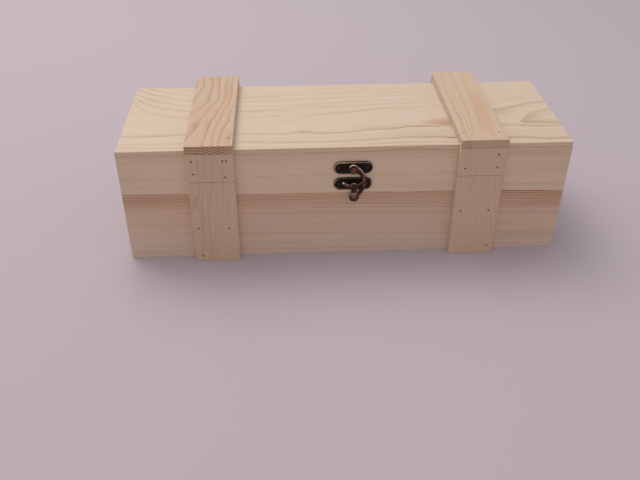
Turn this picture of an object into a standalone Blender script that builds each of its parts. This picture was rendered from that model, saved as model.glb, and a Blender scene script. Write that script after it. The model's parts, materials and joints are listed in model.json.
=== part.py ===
# A wooden wine box: a boarded base and a lid in bare pine, battened all round, with two
# back hinges and a swing-arm latch in front. Metres, +Z up, the front faces -Y, and the
# origin is on the underside, at the middle of the base.

import math

import bmesh
import bpy
from mathutils import Matrix, Vector

# Boards
BOX_WIDTH = 0.350  # over the end boards
BOX_DEPTH = 0.1175  # over the front and back boards
BASE_HEIGHT = 0.074
LID_HEIGHT = 0.0237  # lower edge to the top panel's upper face
WALL = 0.008
FLOOR_PANEL = 0.005
TOP_PANEL = 0.004
EASED = 0.0002  # width of the sanded-off corner on every board

# Battens
BATTEN_WIDTH = 0.036
BATTEN_THICK = 0.0067
BATTEN_SPACING = 0.2084  # between the centre lines of the two rows

# Clearances
FIT = 0.0003  # between pieces that touch on the real box
OVERRUN = 0.001  # how far a cutter runs past the face that it opens

# Brads, sunk into the battens
BRAD_RADIUS = 0.00055
BRAD_LENGTH = 0.012
BRAD_POINT = 0.0012
BRAD_SUNK = 0.0004

# Latch
LATCH_X = 0.0051  # right of the box's middle
LATCH_DROP = 0.0004  # of the pair of plates under the middle of the seam
PLATE_LENGTH = 0.030
PLATE_HEIGHT = 0.0104
PLATE_THICK = 0.0016
PLATE_GAP = 0.0037  # between the two plates
RIM_WIDTH = 0.0012
RIM_RISE = 0.0008  # of the rim over the plate's field
PIVOT_DROP = 0.0005  # of the arm's pivot under the middle of its plate
BOSS_RADIUS = 0.003
RIVET_RADIUS = 0.0011
RIVET_HEAD_RADIUS = 0.0022
RIVET_HEAD_RISE = 0.001
RIVET_TAIL_RADIUS = 0.0018
RIVET_TAIL_THICK = 0.0004
ARM_REACH = 0.0253  # pivot down to the middle of the finger end
ARM_THICK = 0.0018
ARM_WIDTH = 0.003
EYE_RADIUS = 0.0036
HOOK_WIDTH = 0.0027
FINGER_RADIUS = 0.0039
FINGER_THICK = 0.0032
NECK_WIDTH = 0.003
NECK_THICK = 0.001
LUG_WIDTH = 0.0066
LUG_FOOT_WIDTH = 0.0042
LUG_HEIGHT = 0.008
LUG_THICK = 0.0012

# Hinges
LEAF_WIDTH = 0.024
LEAF_HEIGHT = 0.013  # from the pin's axis
LEAF_THICK = 0.0009
KNUCKLE_RADIUS = 0.0019
PIN_RADIUS = 0.00075
PIN_HEAD_RISE = 0.0004

# Round-headed nails that hold the latch plates and the hinge leaves
NAIL_RADIUS = 0.0006
NAIL_HEAD_RADIUS = 0.0013
NAIL_HEAD_RISE = 0.0005
NAIL_LENGTH = 0.005
NAIL_POINT = 0.0012

# How finely round pieces are cut, and the least angle that shades as an edge
ROUND_SIDES = 24
SMALL_SIDES = 12
SAME_POINT = 0.000005
SHARP_ANGLE = math.radians(35)

# Brad places: (share of the batten's width from its left edge, share of the board's height)
BASE_BRAD_SHARES = {
    "left": ((0.13, 0.432), (0.80, 0.422), (0.156, 0.068)),
    "right": ((0.156, 0.568), (0.78, 0.565), (0.867, 0.099)),
}
LID_BRAD_SHARES = {
    "left": ((0.13, 0.92), (0.775, 0.93), (0.85, 0.93), (0.142, 0.371), (0.80, 0.20)),
    "right": ((0.822, 0.93), (0.833, 0.345), (0.136, 0.345)),
}
# Brads down through the top: (share of the batten's width, share of the front wall's thickness)
TOP_BRAD_SHARES = {"left": ((0.91, 0.75),), "right": ((0.10, 0.75), (0.87, 0.80))}

# Middle line of the latch arm, from the pivot to the finger end, in shares of ARM_REACH,
# each point with the arm's width there as a share of ARM_WIDTH
ARM_SHARES = (
    (0.000, 0.000, 2.30),
    (0.165, -0.075, 1.75),
    (0.262, -0.140, 1.15),
    (0.318, -0.255, 0.85),
    (0.345, -0.375, 0.87),
    (0.354, -0.502, 0.93),
    (0.330, -0.625, 1.00),
    (0.280, -0.733, 1.00),
    (0.217, -0.840, 1.00),
    (0.145, -0.925, 0.95),
    (0.036, -1.000, 0.90),
)
HOOK_DROP_SHARE = 0.25  # of ARM_REACH, from the pivot to the centre of the hook's arc
HOOK_RADIUS_SHARE = 0.40  # of ARM_REACH
SPINE_THICK_SHARE = 0.9  # of ARM_THICK
HOOK_THICK_SHARE = 0.8  # of ARM_THICK
HOOK_ROOT_ANGLE = math.radians(-38)
HOOK_TIP_ANGLE = math.radians(-146)
NAIL_SHARE = 0.37  # of a plate's length, from its middle to each nail
LEAF_NAIL_SHARES = (0.30, 0.64)  # of a leaf's width and height, from the pin's middle
BOSS_LENGTH_SHARE = 0.75  # of PLATE_THICK
FINGER_PROFILE_SHARES = ((0.0, 1.0), (0.5, 0.86), (0.87, 0.5), (1.0, 0.0))

PINE = ((0.80, 0.62, 0.42, 1.0), 0.62, 0.0)
PINE_BATTEN = ((0.74, 0.55, 0.37, 1.0), 0.65, 0.0)
BRONZE = ((0.13, 0.09, 0.06, 1.0), 0.42, 1.0)
BRONZE_WORN = ((0.22, 0.15, 0.09, 1.0), 0.36, 1.0)
STEEL = ((0.08, 0.075, 0.07, 1.0), 0.5, 1.0)

FRONT_Y = -BOX_DEPTH / 2
BACK_Y = BOX_DEPTH / 2
LID_Z = BASE_HEIGHT + FIT  # the lid's lower edge
LID_TOP_Z = LID_Z + LID_HEIGHT
SEAM_Z = BASE_HEIGHT + FIT / 2
RAIL_TOP_Z = LID_TOP_Z - TOP_PANEL - FIT
BATTEN_X = {"left": -BATTEN_SPACING / 2, "right": BATTEN_SPACING / 2}
BATTEN_OUT = FIT + BATTEN_THICK  # from a wall's face to its batten's outer face
HOLE_RADIUS = BRAD_RADIUS + FIT
HINGE_Y = BACK_Y + BATTEN_OUT + FIT + KNUCKLE_RADIUS
HINGE = Vector((0, HINGE_Y, SEAM_Z))
PLATE_REACH = (PLATE_GAP + PLATE_HEIGHT) / 2  # from the seam to the middle of each plate
PLATE_FRONT = FIT + PLATE_THICK  # distances out from the front wall's face
ARM_BACK = PLATE_FRONT + FIT
ARM_FRONT = ARM_BACK + ARM_THICK
ARM_MIDDLE = (ARM_BACK + ARM_FRONT) / 2
LUG_BACK = ARM_FRONT + FIT
FIELD_FRONT = PLATE_FRONT - RIM_RISE
LATCH_Z = SEAM_Z - LATCH_DROP
PIVOT = Vector((LATCH_X, FRONT_Y, LATCH_Z + PLATE_REACH - PIVOT_DROP))
HOOK_RADIUS = HOOK_RADIUS_SHARE * ARM_REACH
HOOK_CENTRE = (0, -HOOK_DROP_SHARE * ARM_REACH)
TOWARDS_FRONT = Matrix.Rotation(math.pi / 2, 4, "X")  # turns +Z to -Y
TOWARDS_BACK = Matrix.Rotation(-math.pi / 2, 4, "X")  # turns +Z to +Y


def clear_scene():
    for thing in list(bpy.data.objects):
        bpy.data.objects.remove(thing, do_unlink=True)


def make_material(name, look):
    colour, roughness, metallic = look
    material = bpy.data.materials.new(name)
    material.use_nodes = True
    shader = material.node_tree.nodes["Principled BSDF"]
    shader.inputs["Base Color"].default_value = colour
    shader.inputs["Roughness"].default_value = roughness
    shader.inputs["Metallic"].default_value = metallic
    return material


def make_joint(name, place, parent=None):
    joint = bpy.data.objects.new(name, None)
    joint.parent = parent
    joint.location = place - (parent.location if parent else Vector())
    bpy.context.collection.objects.link(joint)
    return joint


def make_object(name, bm, place, turn=None):
    bmesh.ops.recalc_face_normals(bm, faces=bm.faces)
    mesh = bpy.data.meshes.new(name)
    bm.to_mesh(mesh)
    bm.free()
    thing = bpy.data.objects.new(name, mesh)
    bpy.context.collection.objects.link(thing)
    if turn:
        thing.rotation_euler = turn.to_euler()
    thing.location = place
    return thing


def make_piece(name, bm, place, look, turn=None, joint=None):
    piece = make_object(name, bm, place, turn)
    if joint:
        piece.parent = joint
        carried = joint.location + (joint.parent.location if joint.parent else Vector())
        piece.location = place - carried
    piece.data.materials.append(make_material(name, look))
    return piece


def make_tool(name, bm, place, turn=None):
    """A hidden shape that cuts a piece or is joined to one."""
    tool = make_object(name, bm, place, turn)
    tool.hide_render = True
    tool.display_type = "WIRE"
    return tool


def combine(piece, tool, operation):
    step = piece.modifiers.new(f"{operation.lower()}_{tool.name}", "BOOLEAN")
    step.object = tool
    step.operation = operation
    step.solver = "EXACT"


def block(size):
    bm = bmesh.new()
    bmesh.ops.create_cube(bm, size=1, matrix=Matrix.Diagonal((*size, 1)))
    return bm


def eased_block(size):
    bm = block(size)
    bmesh.ops.bevel(bm, geom=list(bm.edges), offset=EASED, segments=1, affect="EDGES")
    return bm


def shade_round(bm):
    for face in bm.faces:
        face.smooth = True
    for edge in bm.edges:
        edge.smooth = edge.calc_face_angle(0) < SHARP_ANGLE
    return bm


def drum(radius, length, sides):
    bm = bmesh.new()
    bmesh.ops.create_cone(
        bm, cap_ends=True, segments=sides, radius1=radius, radius2=radius, depth=length
    )
    return shade_round(bm)


def turned(profile, sides):
    """A solid turned about +Z from (radius, height) points that start and end on the axis."""
    bm = bmesh.new()
    points = [bm.verts.new((radius, 0, height)) for radius, height in profile]
    edges = [bm.edges.new(pair) for pair in zip(points, points[1:])]
    bmesh.ops.spin(
        bm,
        geom=points + edges,
        cent=(0, 0, 0),
        axis=(0, 0, 1),
        angle=2 * math.pi,
        steps=sides,
        use_merge=True,
    )
    bmesh.ops.remove_doubles(bm, verts=bm.verts, dist=SAME_POINT)
    return shade_round(bm)


def slab(outline, back, front):
    """A flat piece with an (x, z) outline, from back to front in front of the wall."""
    bm = bmesh.new()
    face = bm.faces.new([bm.verts.new((x, -back, z)) for x, z in outline])
    grown = bmesh.ops.extrude_face_region(bm, geom=[face])
    moved = [v for v in grown["geom"] if isinstance(v, bmesh.types.BMVert)]
    bmesh.ops.translate(bm, verts=moved, vec=(0, back - front, 0))
    return bm


def arc(centre, radius, start, end, steps):
    angles = [start + (end - start) * step / steps for step in range(steps + 1)]
    return [
        (centre[0] + radius * math.cos(a), centre[1] + radius * math.sin(a)) for a in angles
    ]


def stadium(length, height):
    reach = (length - height) / 2
    half = math.pi / 2
    right = arc((reach, 0), height / 2, -half, half, SMALL_SIDES)
    left = arc((-reach, 0), height / 2, half, 3 * half, SMALL_SIDES)
    return right + left


def smooth_line(points, steps):
    """Points on a smooth curve through the given ones, with any further values carried along."""
    rows = [Vector(p) for p in points]
    rows = [2 * rows[0] - rows[1], *rows, 2 * rows[-1] - rows[-2]]
    found = []
    for a, b, c, d in zip(rows, rows[1:], rows[2:], rows[3:]):
        for step in range(steps):
            t = step / steps
            found.append(
                b
                + (c - a) * t / 2
                + (2 * a - 5 * b + 4 * c - d) * t**2 / 2
                + (3 * b - a - 3 * c + d) * t**3 / 2
            )
    return [*found, rows[-2]]


def ribbon(line):
    """The outline of a strip along (x, z, width) points, with a round far end."""
    left, right = [], []
    for i, (x, z, width) in enumerate(line):
        before, after = line[max(i - 1, 0)], line[min(i + 1, len(line) - 1)]
        along = Vector((after[0] - before[0], after[1] - before[1])).normalized()
        left.append((x - along.y * width / 2, z + along.x * width / 2))
        right.append((x + along.y * width / 2, z - along.x * width / 2))
    x, z, width = line[-1]
    heading = math.atan2(along.y, along.x)
    half = math.pi / 2
    cap = arc((x, z), width / 2, heading + half, heading - half, SMALL_SIDES // 2)
    return left[:-1] + cap + right[-2::-1]


def nail_profile(radius, length, point, head_radius=0, head_rise=0):
    """A round-headed nail or a headless brad, its head's underside at zero and its point down."""
    tip = [(radius, point - length), (0, -length)]
    if not head_radius:
        return [(0, 0), (radius, 0), *tip]
    dome = [
        (head_radius * math.cos(a), head_rise * math.sin(a))
        for a in (math.pi / 2, math.pi / 3, math.pi / 6, 0)
    ]
    return [(0, head_rise), *dome[1:], (radius, 0), *tip]


def drill(name, pieces, place, radius, depth, turn=None):
    """One round hole, depth deep below place and open above it, through all the pieces."""
    bm = drum(radius, depth + OVERRUN, SMALL_SIDES)
    bmesh.ops.translate(bm, verts=bm.verts, vec=(0, 0, (OVERRUN - depth) / 2))
    tool = make_tool(f"cut_{name}", bm, place, turn)
    for piece in pieces:
        combine(piece, tool, "DIFFERENCE")


def add_brad(name, pieces, surface, turn, joint=None):
    """A brad driven in at a point of the surface, sunk just below it."""
    depth = BRAD_SUNK + BRAD_LENGTH + FIT
    drill(name, pieces, surface, HOLE_RADIUS, depth, turn)
    bm = turned(nail_profile(BRAD_RADIUS, BRAD_LENGTH, BRAD_POINT), SMALL_SIDES)
    outwards = (turn @ Vector((0, 0, 1))) if turn else Vector((0, 0, 1))
    make_piece(name, bm, surface - BRAD_SUNK * outwards, STEEL, turn, joint)


def add_nail(name, pieces, surface, turn, joint=None):
    """A round-headed nail whose head stands just off the surface."""
    drill(name, pieces, surface, NAIL_RADIUS + FIT, NAIL_LENGTH, turn)
    profile = nail_profile(
        NAIL_RADIUS, NAIL_LENGTH, NAIL_POINT, NAIL_HEAD_RADIUS, NAIL_HEAD_RISE
    )
    place = surface + FIT * (turn @ Vector((0, 0, 1)))
    make_piece(name, turned(profile, SMALL_SIDES), place, BRONZE, turn, joint)


def add_board(name, low, high, look=PINE, joint=None):
    low, high = Vector(low), Vector(high)
    return make_piece(name, eased_block(high - low), (low + high) / 2, look, joint=joint)


def add_frame(prefix, low_z, high_z, names, joint=None):
    """Four boards on edge: the front and back ones run full width and cover the ends."""
    half = BOX_WIDTH / 2
    inner = BACK_Y - WALL - FIT
    front, back, left, right = (f"{prefix}{name}" for name in names)
    return {
        "front": add_board(
            front, (-half, FRONT_Y, low_z), (half, FRONT_Y + WALL, high_z), joint=joint
        ),
        "back": add_board(
            back, (-half, BACK_Y - WALL, low_z), (half, BACK_Y, high_z), joint=joint
        ),
        "left": add_board(
            left, (-half, -inner, low_z), (WALL - half, inner, high_z), joint=joint
        ),
        "right": add_board(
            right, (half - WALL, -inner, low_z), (half, inner, high_z), joint=joint
        ),
    }


def add_battens(prefix, low_z, high_z, joint=None):
    """The upright battens on the front and back of the base or the lid."""
    found = {}
    for face, near, far in (
        ("front", FRONT_Y - BATTEN_OUT, FRONT_Y - FIT),
        ("back", BACK_Y + FIT, BACK_Y + BATTEN_OUT),
    ):
        for side, x in BATTEN_X.items():
            low = (x - BATTEN_WIDTH / 2, near, low_z)
            high = (x + BATTEN_WIDTH / 2, far, high_z)
            name = f"{prefix}{face}_batten_{side}"
            found[face, side] = add_board(name, low, high, PINE_BATTEN, joint)
    return found


def add_base():
    walls = add_frame("", 0, BASE_HEIGHT, ("front_wall", "back_wall", "left_end", "right_end"))
    x = BOX_WIDTH / 2 - WALL - FIT
    y = BACK_Y - WALL - FIT
    add_board("bottom_panel", (-x, -y, 0), (x, y, FLOOR_PANEL))
    return walls, add_battens("", 0, BASE_HEIGHT)


def add_lid(joint):
    names = ("front_rail", "back_rail", "left_rail", "right_rail")
    rails = add_frame("lid_", LID_Z, RAIL_TOP_Z, names, joint)
    half = BOX_WIDTH / 2
    low_z = LID_TOP_Z - TOP_PANEL
    top = add_board(
        "top_panel", (-half, FRONT_Y, low_z), (half, BACK_Y, LID_TOP_Z), joint=joint
    )
    battens = add_battens("lid_", LID_Z, LID_TOP_Z, joint)
    for side, x in BATTEN_X.items():
        low = (x - BATTEN_WIDTH / 2, FRONT_Y - BATTEN_OUT, LID_TOP_Z + FIT)
        high = (x + BATTEN_WIDTH / 2, BACK_Y + BATTEN_OUT, LID_TOP_Z + BATTEN_OUT)
        battens["top", side] = add_board(f"top_batten_{side}", low, high, PINE_BATTEN, joint)
    return rails, top, battens


def add_front_brads(prefix, shares, low_z, high_z, wall, battens, joint=None):
    for side, places in shares.items():
        for number, (across, up) in enumerate(places, 1):
            x = BATTEN_X[side] + (across - 1 / 2) * BATTEN_WIDTH
            z = low_z + up * (high_z - low_z)
            surface = Vector((x, FRONT_Y - BATTEN_OUT, z))
            pieces = (battens["front", side], wall)
            add_brad(f"{prefix}brad_{side}_{number}", pieces, surface, TOWARDS_FRONT, joint)


def add_top_brads(rail, top, battens, joint):
    for side, places in TOP_BRAD_SHARES.items():
        for number, (across, back) in enumerate(places, 1):
            x = BATTEN_X[side] + (across - 1 / 2) * BATTEN_WIDTH
            surface = Vector((x, FRONT_Y + back * WALL, LID_TOP_Z + BATTEN_OUT))
            pieces = (battens["top", side], top, rail)
            add_brad(f"top_brad_{side}_{number}", pieces, surface, None, joint)


def plate_blank():
    """A pressed plate with a raised rim round a flat field."""
    bm = slab(stadium(PLATE_LENGTH, PLATE_HEIGHT), FIT, PLATE_FRONT)
    bmesh.ops.recalc_face_normals(bm, faces=bm.faces)
    front = [f for f in bm.faces if f.normal.y < -1 / 2]
    bmesh.ops.inset_region(bm, faces=front, thickness=RIM_WIDTH)
    inner = [v for f in front for v in f.verts]
    bmesh.ops.translate(bm, verts=inner, vec=(0, RIM_RISE, 0))
    return bm


def add_plate_nails(prefix, plate, wall, z, joint=None):
    for side, way in (("left", -1), ("right", 1)):
        x = LATCH_X + way * NAIL_SHARE * PLATE_LENGTH
        surface = Vector((x, FRONT_Y - FIELD_FRONT, z))
        add_nail(f"{prefix}_nail_{side}", (plate, wall), surface, TOWARDS_FRONT, joint)


def add_latch_plate(rail, joint):
    z = LATCH_Z + PLATE_REACH
    place = Vector((LATCH_X, FRONT_Y, z))
    plate = make_piece("latch_plate", plate_blank(), place, BRONZE, joint=joint)
    length = BOSS_LENGTH_SHARE * PLATE_THICK
    boss = drum(BOSS_RADIUS, length, ROUND_SIDES)
    bmesh.ops.translate(boss, verts=boss.verts, vec=(0, 0, PLATE_FRONT - length / 2))
    combine(plate, make_tool("join_boss", boss, PIVOT, TOWARDS_FRONT), "UNION")
    for name, radius, depth in (
        ("rivet_hole", RIVET_RADIUS + FIT, PLATE_THICK + OVERRUN),
        ("rivet_seat", RIVET_TAIL_RADIUS + FIT, 2 * FIT + RIVET_TAIL_THICK),
    ):
        bore = drum(radius, depth, ROUND_SIDES)
        bmesh.ops.translate(bore, verts=bore.verts, vec=(0, 0, depth / 2))
        combine(plate, make_tool(f"cut_{name}", bore, PIVOT, TOWARDS_FRONT), "DIFFERENCE")
    add_plate_nails("latch", plate, rail, z, joint)


def add_catch_plate(wall):
    """The lower plate, with the lug that bends down in front of the hook."""
    z = LATCH_Z - PLATE_REACH
    place = Vector((LATCH_X, FRONT_Y, z))
    plate = make_piece("catch_plate", plate_blank(), place, BRONZE)
    # the hook's tip comes nearest to the pivot, and it swings past under the neck
    half = NECK_WIDTH / 2
    tip = Vector(arc(HOOK_CENTRE, HOOK_RADIUS, HOOK_TIP_ANGLE, HOOK_TIP_ANGLE, 1)[0])
    clear = tip.length - HOOK_WIDTH / 2 - FIT
    neck_low = -math.sqrt(clear**2 - half**2)
    neck_high = neck_low + NECK_THICK
    outline = [(-half, neck_low), (half, neck_low), (half, neck_high), (-half, neck_high)]
    neck = slab(outline, FIT + RIM_RISE / 2, LUG_BACK + LUG_THICK / 2)
    combine(plate, make_tool("join_neck", neck, PIVOT), "UNION")
    # the round crown just covers the neck's corners
    radius = LUG_WIDTH / 2
    high = neck_high + radius - math.sqrt(radius**2 - half**2)
    crown = arc((0, high - radius), radius, 0, math.pi, SMALL_SIDES)
    foot = LUG_FOOT_WIDTH / 2
    head = crown + [(-foot, high - LUG_HEIGHT), (foot, high - LUG_HEIGHT)]
    lug = slab(head, LUG_BACK, LUG_BACK + LUG_THICK)
    combine(plate, make_tool("join_lug", lug, PIVOT), "UNION")
    add_plate_nails("catch", plate, wall, z)


def add_latch_arm(joint):
    """A flat cast arm: an eye on the rivet, a curved spine, a hook and a round finger end."""
    line = smooth_line(
        [(x * ARM_REACH, z * ARM_REACH, width * ARM_WIDTH) for x, z, width in ARM_SHARES],
        SMALL_SIDES // 4,
    )
    spine_half = ARM_THICK * SPINE_THICK_SHARE / 2
    spine = slab(ribbon(line), ARM_MIDDLE - spine_half, ARM_MIDDLE + spine_half)
    arm = make_piece("latch_arm", spine, PIVOT, BRONZE_WORN, joint=joint)
    arc_line = arc(HOOK_CENTRE, HOOK_RADIUS, HOOK_ROOT_ANGLE, HOOK_TIP_ANGLE, SMALL_SIDES)
    hook_half = ARM_THICK * HOOK_THICK_SHARE / 2
    hook = slab(
        ribbon([(x, z, HOOK_WIDTH) for x, z in arc_line]),
        ARM_MIDDLE - hook_half,
        ARM_MIDDLE + hook_half,
    )
    combine(arm, make_tool("join_hook", hook, PIVOT), "UNION")
    eye = drum(EYE_RADIUS, ARM_THICK, ROUND_SIDES)
    bmesh.ops.translate(eye, verts=eye.verts, vec=(0, 0, ARM_MIDDLE))
    combine(arm, make_tool("join_eye", eye, PIVOT, TOWARDS_FRONT), "UNION")
    half = FINGER_THICK / 2
    front = [(r * FINGER_RADIUS, h * half) for r, h in FINGER_PROFILE_SHARES]
    back = [(r, -h) for r, h in reversed(front[:-1])]
    finger = turned(front + back, ROUND_SIDES)
    place = PIVOT + Vector((line[-1][0], -ARM_MIDDLE, line[-1][1]))
    combine(arm, make_tool("join_finger", finger, place, TOWARDS_FRONT), "UNION")
    bore = drum(RIVET_RADIUS + FIT, ARM_FRONT, ROUND_SIDES)
    bmesh.ops.translate(bore, verts=bore.verts, vec=(0, 0, ARM_MIDDLE))
    combine(arm, make_tool("cut_eye_bore", bore, PIVOT, TOWARDS_FRONT), "DIFFERENCE")


def add_rivet(joint):
    """Its domed head holds the arm, and its tail is spread in the back of the plate."""
    head = ARM_FRONT + FIT
    dome = [
        (RIVET_HEAD_RADIUS * math.cos(a), head + RIVET_HEAD_RISE * math.sin(a))
        for a in (math.pi / 2, math.pi / 3, math.pi / 6, 0)
    ]
    profile = [
        (0, head + RIVET_HEAD_RISE),
        *dome[1:],
        (RIVET_RADIUS, head),
        (RIVET_RADIUS, FIT + RIVET_TAIL_THICK),
        (RIVET_TAIL_RADIUS, FIT + RIVET_TAIL_THICK),
        (RIVET_TAIL_RADIUS, FIT),
        (0, FIT),
    ]
    make_piece(
        "latch_rivet",
        turned(profile, ROUND_SIDES),
        PIVOT,
        BRONZE_WORN,
        TOWARDS_FRONT,
        joint,
    )


def barrel(start, end, radius):
    """A round bar along X from start to end, about the pin's axis."""
    bm = drum(radius, end - start, ROUND_SIDES)
    bmesh.ops.rotate(bm, verts=bm.verts, matrix=Matrix.Rotation(math.pi / 2, 3, "Y"))
    bmesh.ops.translate(bm, verts=bm.verts, vec=((start + end) / 2, 0, 0))
    return bm


def add_leaf(name, place, way, own, other, joint):
    """One leaf; way is 1 upwards or -1 downwards, own and other are spans of knuckles along X."""
    low_z, high_z = sorted((way * FIT / 2, way * LEAF_HEIGHT))
    bm = block((LEAF_WIDTH, LEAF_THICK, high_z - low_z))
    back = -KNUCKLE_RADIUS + LEAF_THICK / 2
    bmesh.ops.translate(bm, verts=bm.verts, vec=(0, back, (low_z + high_z) / 2))
    leaf = make_piece(name, bm, place, BRONZE, joint=joint)
    for number, (start, end) in enumerate(other, 1):
        notch = barrel(start - FIT, end + FIT, KNUCKLE_RADIUS + FIT)
        combine(leaf, make_tool(f"cut_{name}_notch_{number}", notch, place), "DIFFERENCE")
    for number, (start, end) in enumerate(own, 1):
        knuckle = barrel(start, end, KNUCKLE_RADIUS)
        combine(leaf, make_tool(f"join_{name}_knuckle_{number}", knuckle, place), "UNION")
    reach = LEAF_WIDTH / 2 + OVERRUN
    bore = barrel(-reach, reach, PIN_RADIUS + FIT)
    combine(leaf, make_tool(f"cut_{name}_bore", bore, place), "DIFFERENCE")
    return leaf


def add_hinge(side, base_batten, lid_batten, lid_joint):
    place = HINGE + Vector((BATTEN_X[side], 0, 0))
    third = LEAF_WIDTH / 3
    half = LEAF_WIDTH / 2
    middle = [(-third / 2, third / 2)]
    outer = [(-half, -third / 2 - FIT), (third / 2 + FIT, half)]
    base_name, lid_name = f"hinge_{side}_base_leaf", f"hinge_{side}_lid_leaf"
    base_leaf = add_leaf(base_name, place, -1, middle, outer, None)
    lid_leaf = add_leaf(lid_name, place, 1, outer, middle, lid_joint)
    profile = [
        (0, half + PIN_HEAD_RISE),
        (PIN_RADIUS / 2, half + PIN_HEAD_RISE),
        (PIN_RADIUS, half),
        (PIN_RADIUS, -half),
        (PIN_RADIUS / 2, -half - PIN_HEAD_RISE),
        (0, -half - PIN_HEAD_RISE),
    ]
    along_x = Matrix.Rotation(math.pi / 2, 4, "Y")
    pin = turned(profile, SMALL_SIDES)
    make_piece(f"hinge_{side}_pin", pin, place, BRONZE_WORN, along_x)
    across, up = LEAF_NAIL_SHARES
    y = LEAF_THICK - KNUCKLE_RADIUS
    for leaf, batten, way, name, joint in (
        (base_leaf, base_batten, -1, f"hinge_{side}_base_nail", None),
        (lid_leaf, lid_batten, 1, f"hinge_{side}_lid_nail", lid_joint),
    ):
        for number, hand in enumerate((-1, 1), 1):
            offset = Vector((hand * across * LEAF_WIDTH, y, way * up * LEAF_HEIGHT))
            surface = place + offset
            add_nail(f"{name}_{number}", (leaf, batten), surface, TOWARDS_BACK, joint)


def build():
    clear_scene()
    lid_joint = make_joint("lid_axis", HINGE)
    arm_joint = make_joint("latch_arm_axis", PIVOT, lid_joint)
    walls, battens = add_base()
    rails, top, lid_battens = add_lid(lid_joint)
    add_front_brads("base_", BASE_BRAD_SHARES, 0, BASE_HEIGHT, walls["front"], battens)
    add_front_brads(
        "lid_", LID_BRAD_SHARES, LID_Z, RAIL_TOP_Z, rails["front"], lid_battens, lid_joint
    )
    add_top_brads(rails["front"], top, lid_battens, lid_joint)
    add_latch_plate(rails["front"], lid_joint)
    add_catch_plate(walls["front"])
    add_latch_arm(arm_joint)
    add_rivet(lid_joint)
    for side in BATTEN_X:
        add_hinge(side, battens["back", side], lid_battens["back", side], lid_joint)


build()
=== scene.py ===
# Bare pine wine box with battens, brads, back hinges and an antiqued bronze swing latch.
# Metres, +Z up, the front faces -Y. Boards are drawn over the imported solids, piece by piece.

import json
import math
from functools import partial

import bmesh
import bpy
import numpy as np
from mathutils import Matrix, Vector, noise


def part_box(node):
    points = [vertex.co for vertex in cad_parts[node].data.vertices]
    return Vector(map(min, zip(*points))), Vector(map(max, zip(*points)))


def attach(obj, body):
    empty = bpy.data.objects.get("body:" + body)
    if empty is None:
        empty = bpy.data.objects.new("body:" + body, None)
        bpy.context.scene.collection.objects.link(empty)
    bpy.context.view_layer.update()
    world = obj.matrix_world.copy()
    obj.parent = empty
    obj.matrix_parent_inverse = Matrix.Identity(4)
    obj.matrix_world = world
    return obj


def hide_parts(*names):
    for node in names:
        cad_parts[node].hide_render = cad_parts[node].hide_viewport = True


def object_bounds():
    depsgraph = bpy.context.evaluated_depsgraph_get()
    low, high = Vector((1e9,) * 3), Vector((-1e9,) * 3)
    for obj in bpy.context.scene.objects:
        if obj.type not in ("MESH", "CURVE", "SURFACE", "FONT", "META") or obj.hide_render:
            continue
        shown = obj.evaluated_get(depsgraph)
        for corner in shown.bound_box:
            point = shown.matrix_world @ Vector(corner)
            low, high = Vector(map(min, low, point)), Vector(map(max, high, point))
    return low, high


mm = 0.001

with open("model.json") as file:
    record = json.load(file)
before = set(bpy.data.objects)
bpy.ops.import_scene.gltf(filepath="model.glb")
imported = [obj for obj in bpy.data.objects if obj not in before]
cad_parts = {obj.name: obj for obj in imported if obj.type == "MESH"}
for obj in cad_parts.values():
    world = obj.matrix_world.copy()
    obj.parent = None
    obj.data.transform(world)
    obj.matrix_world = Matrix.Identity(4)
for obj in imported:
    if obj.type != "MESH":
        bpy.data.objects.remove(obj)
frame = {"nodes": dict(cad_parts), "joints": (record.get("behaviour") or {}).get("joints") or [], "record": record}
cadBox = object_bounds()
scene = bpy.context.scene
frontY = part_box("front_wall")[0].y
bodyOf = {node: body for body, nodes in frame["record"]["behaviour"]["bodies"].items() for node in nodes}
pivot = Vector(next(j for j in frame["joints"] if j["name"] == "latch_swing")["pos_m"])
print("frame loaded:", len(frame["nodes"]), "solids")


# Camera, floor and light

view = {
    "place": (-0.04695, -0.55111, 0.36059),
    "turn": (54.784, -0.110, -3.002),  # degrees
    "lens": 41.16,  # mm, on a 36 mm wide sensor
}
studio = {
    "floor": "#bdb4c1",
    "floorRoughness": 0.9,
    "sky": "#efebe8",
    "skyStrength": 0.57,
    "backdrop": "#cbc4d0",
    "lamps": {
        # name: (place, aim, size, power, colour)
        "overhead": ((-0.5, 0.62, 1.55), (0, 0, 0.05), 1.2, 17, "#fff6ea"),
        "front": ((-0.1, -1.5, 0.9), (0, 0, 0.05), 1.2, 3.4, "#ffe9d8"),
    },
}


def toLinear(code):
    parts = [int(code[i : i + 2], 16) / 255 for i in (1, 3, 5)]
    return [p / 12.92 if p <= 0.04045 else ((p + 0.055) / 1.055) ** 2.4 for p in parts]


def feed(node, *values, named=None):
    # values, hex colours, sockets or nodes go to the inputs in use, by order or by name; a node
    # gives its first output in use
    inputs = [s for s in node.inputs if s.enabled]
    pairs = [*zip(inputs, values)]
    pairs += [(next(s for s in inputs if s.name == name), value) for name, value in (named or {}).items()]
    for target, value in pairs:
        if isinstance(value, bpy.types.Node):
            value = next(s for s in value.outputs if s.enabled)
        if isinstance(value, bpy.types.NodeSocket):
            node.id_data.links.new(value, target)
        else:
            target.default_value = [*toLinear(value), 1] if isinstance(value, str) else value


def addNode(tree, kind, *values, named=None, stops=(), **settings):
    # stops are a colour ramp's, with a hex colour or a grey value each
    node = tree.nodes.new("ShaderNode" + kind)
    for key, value in settings.items():
        setattr(node, key, value)
    feed(node, *values, named=named)
    points = node.color_ramp.elements if stops else ()
    while len(points) < len(stops):
        points.new(1)
    for point, (place, value) in zip(points, stops):
        point.position = place
        point.color = [*(toLinear(value) if isinstance(value, str) else [value] * 3), 1]
    return node


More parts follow.
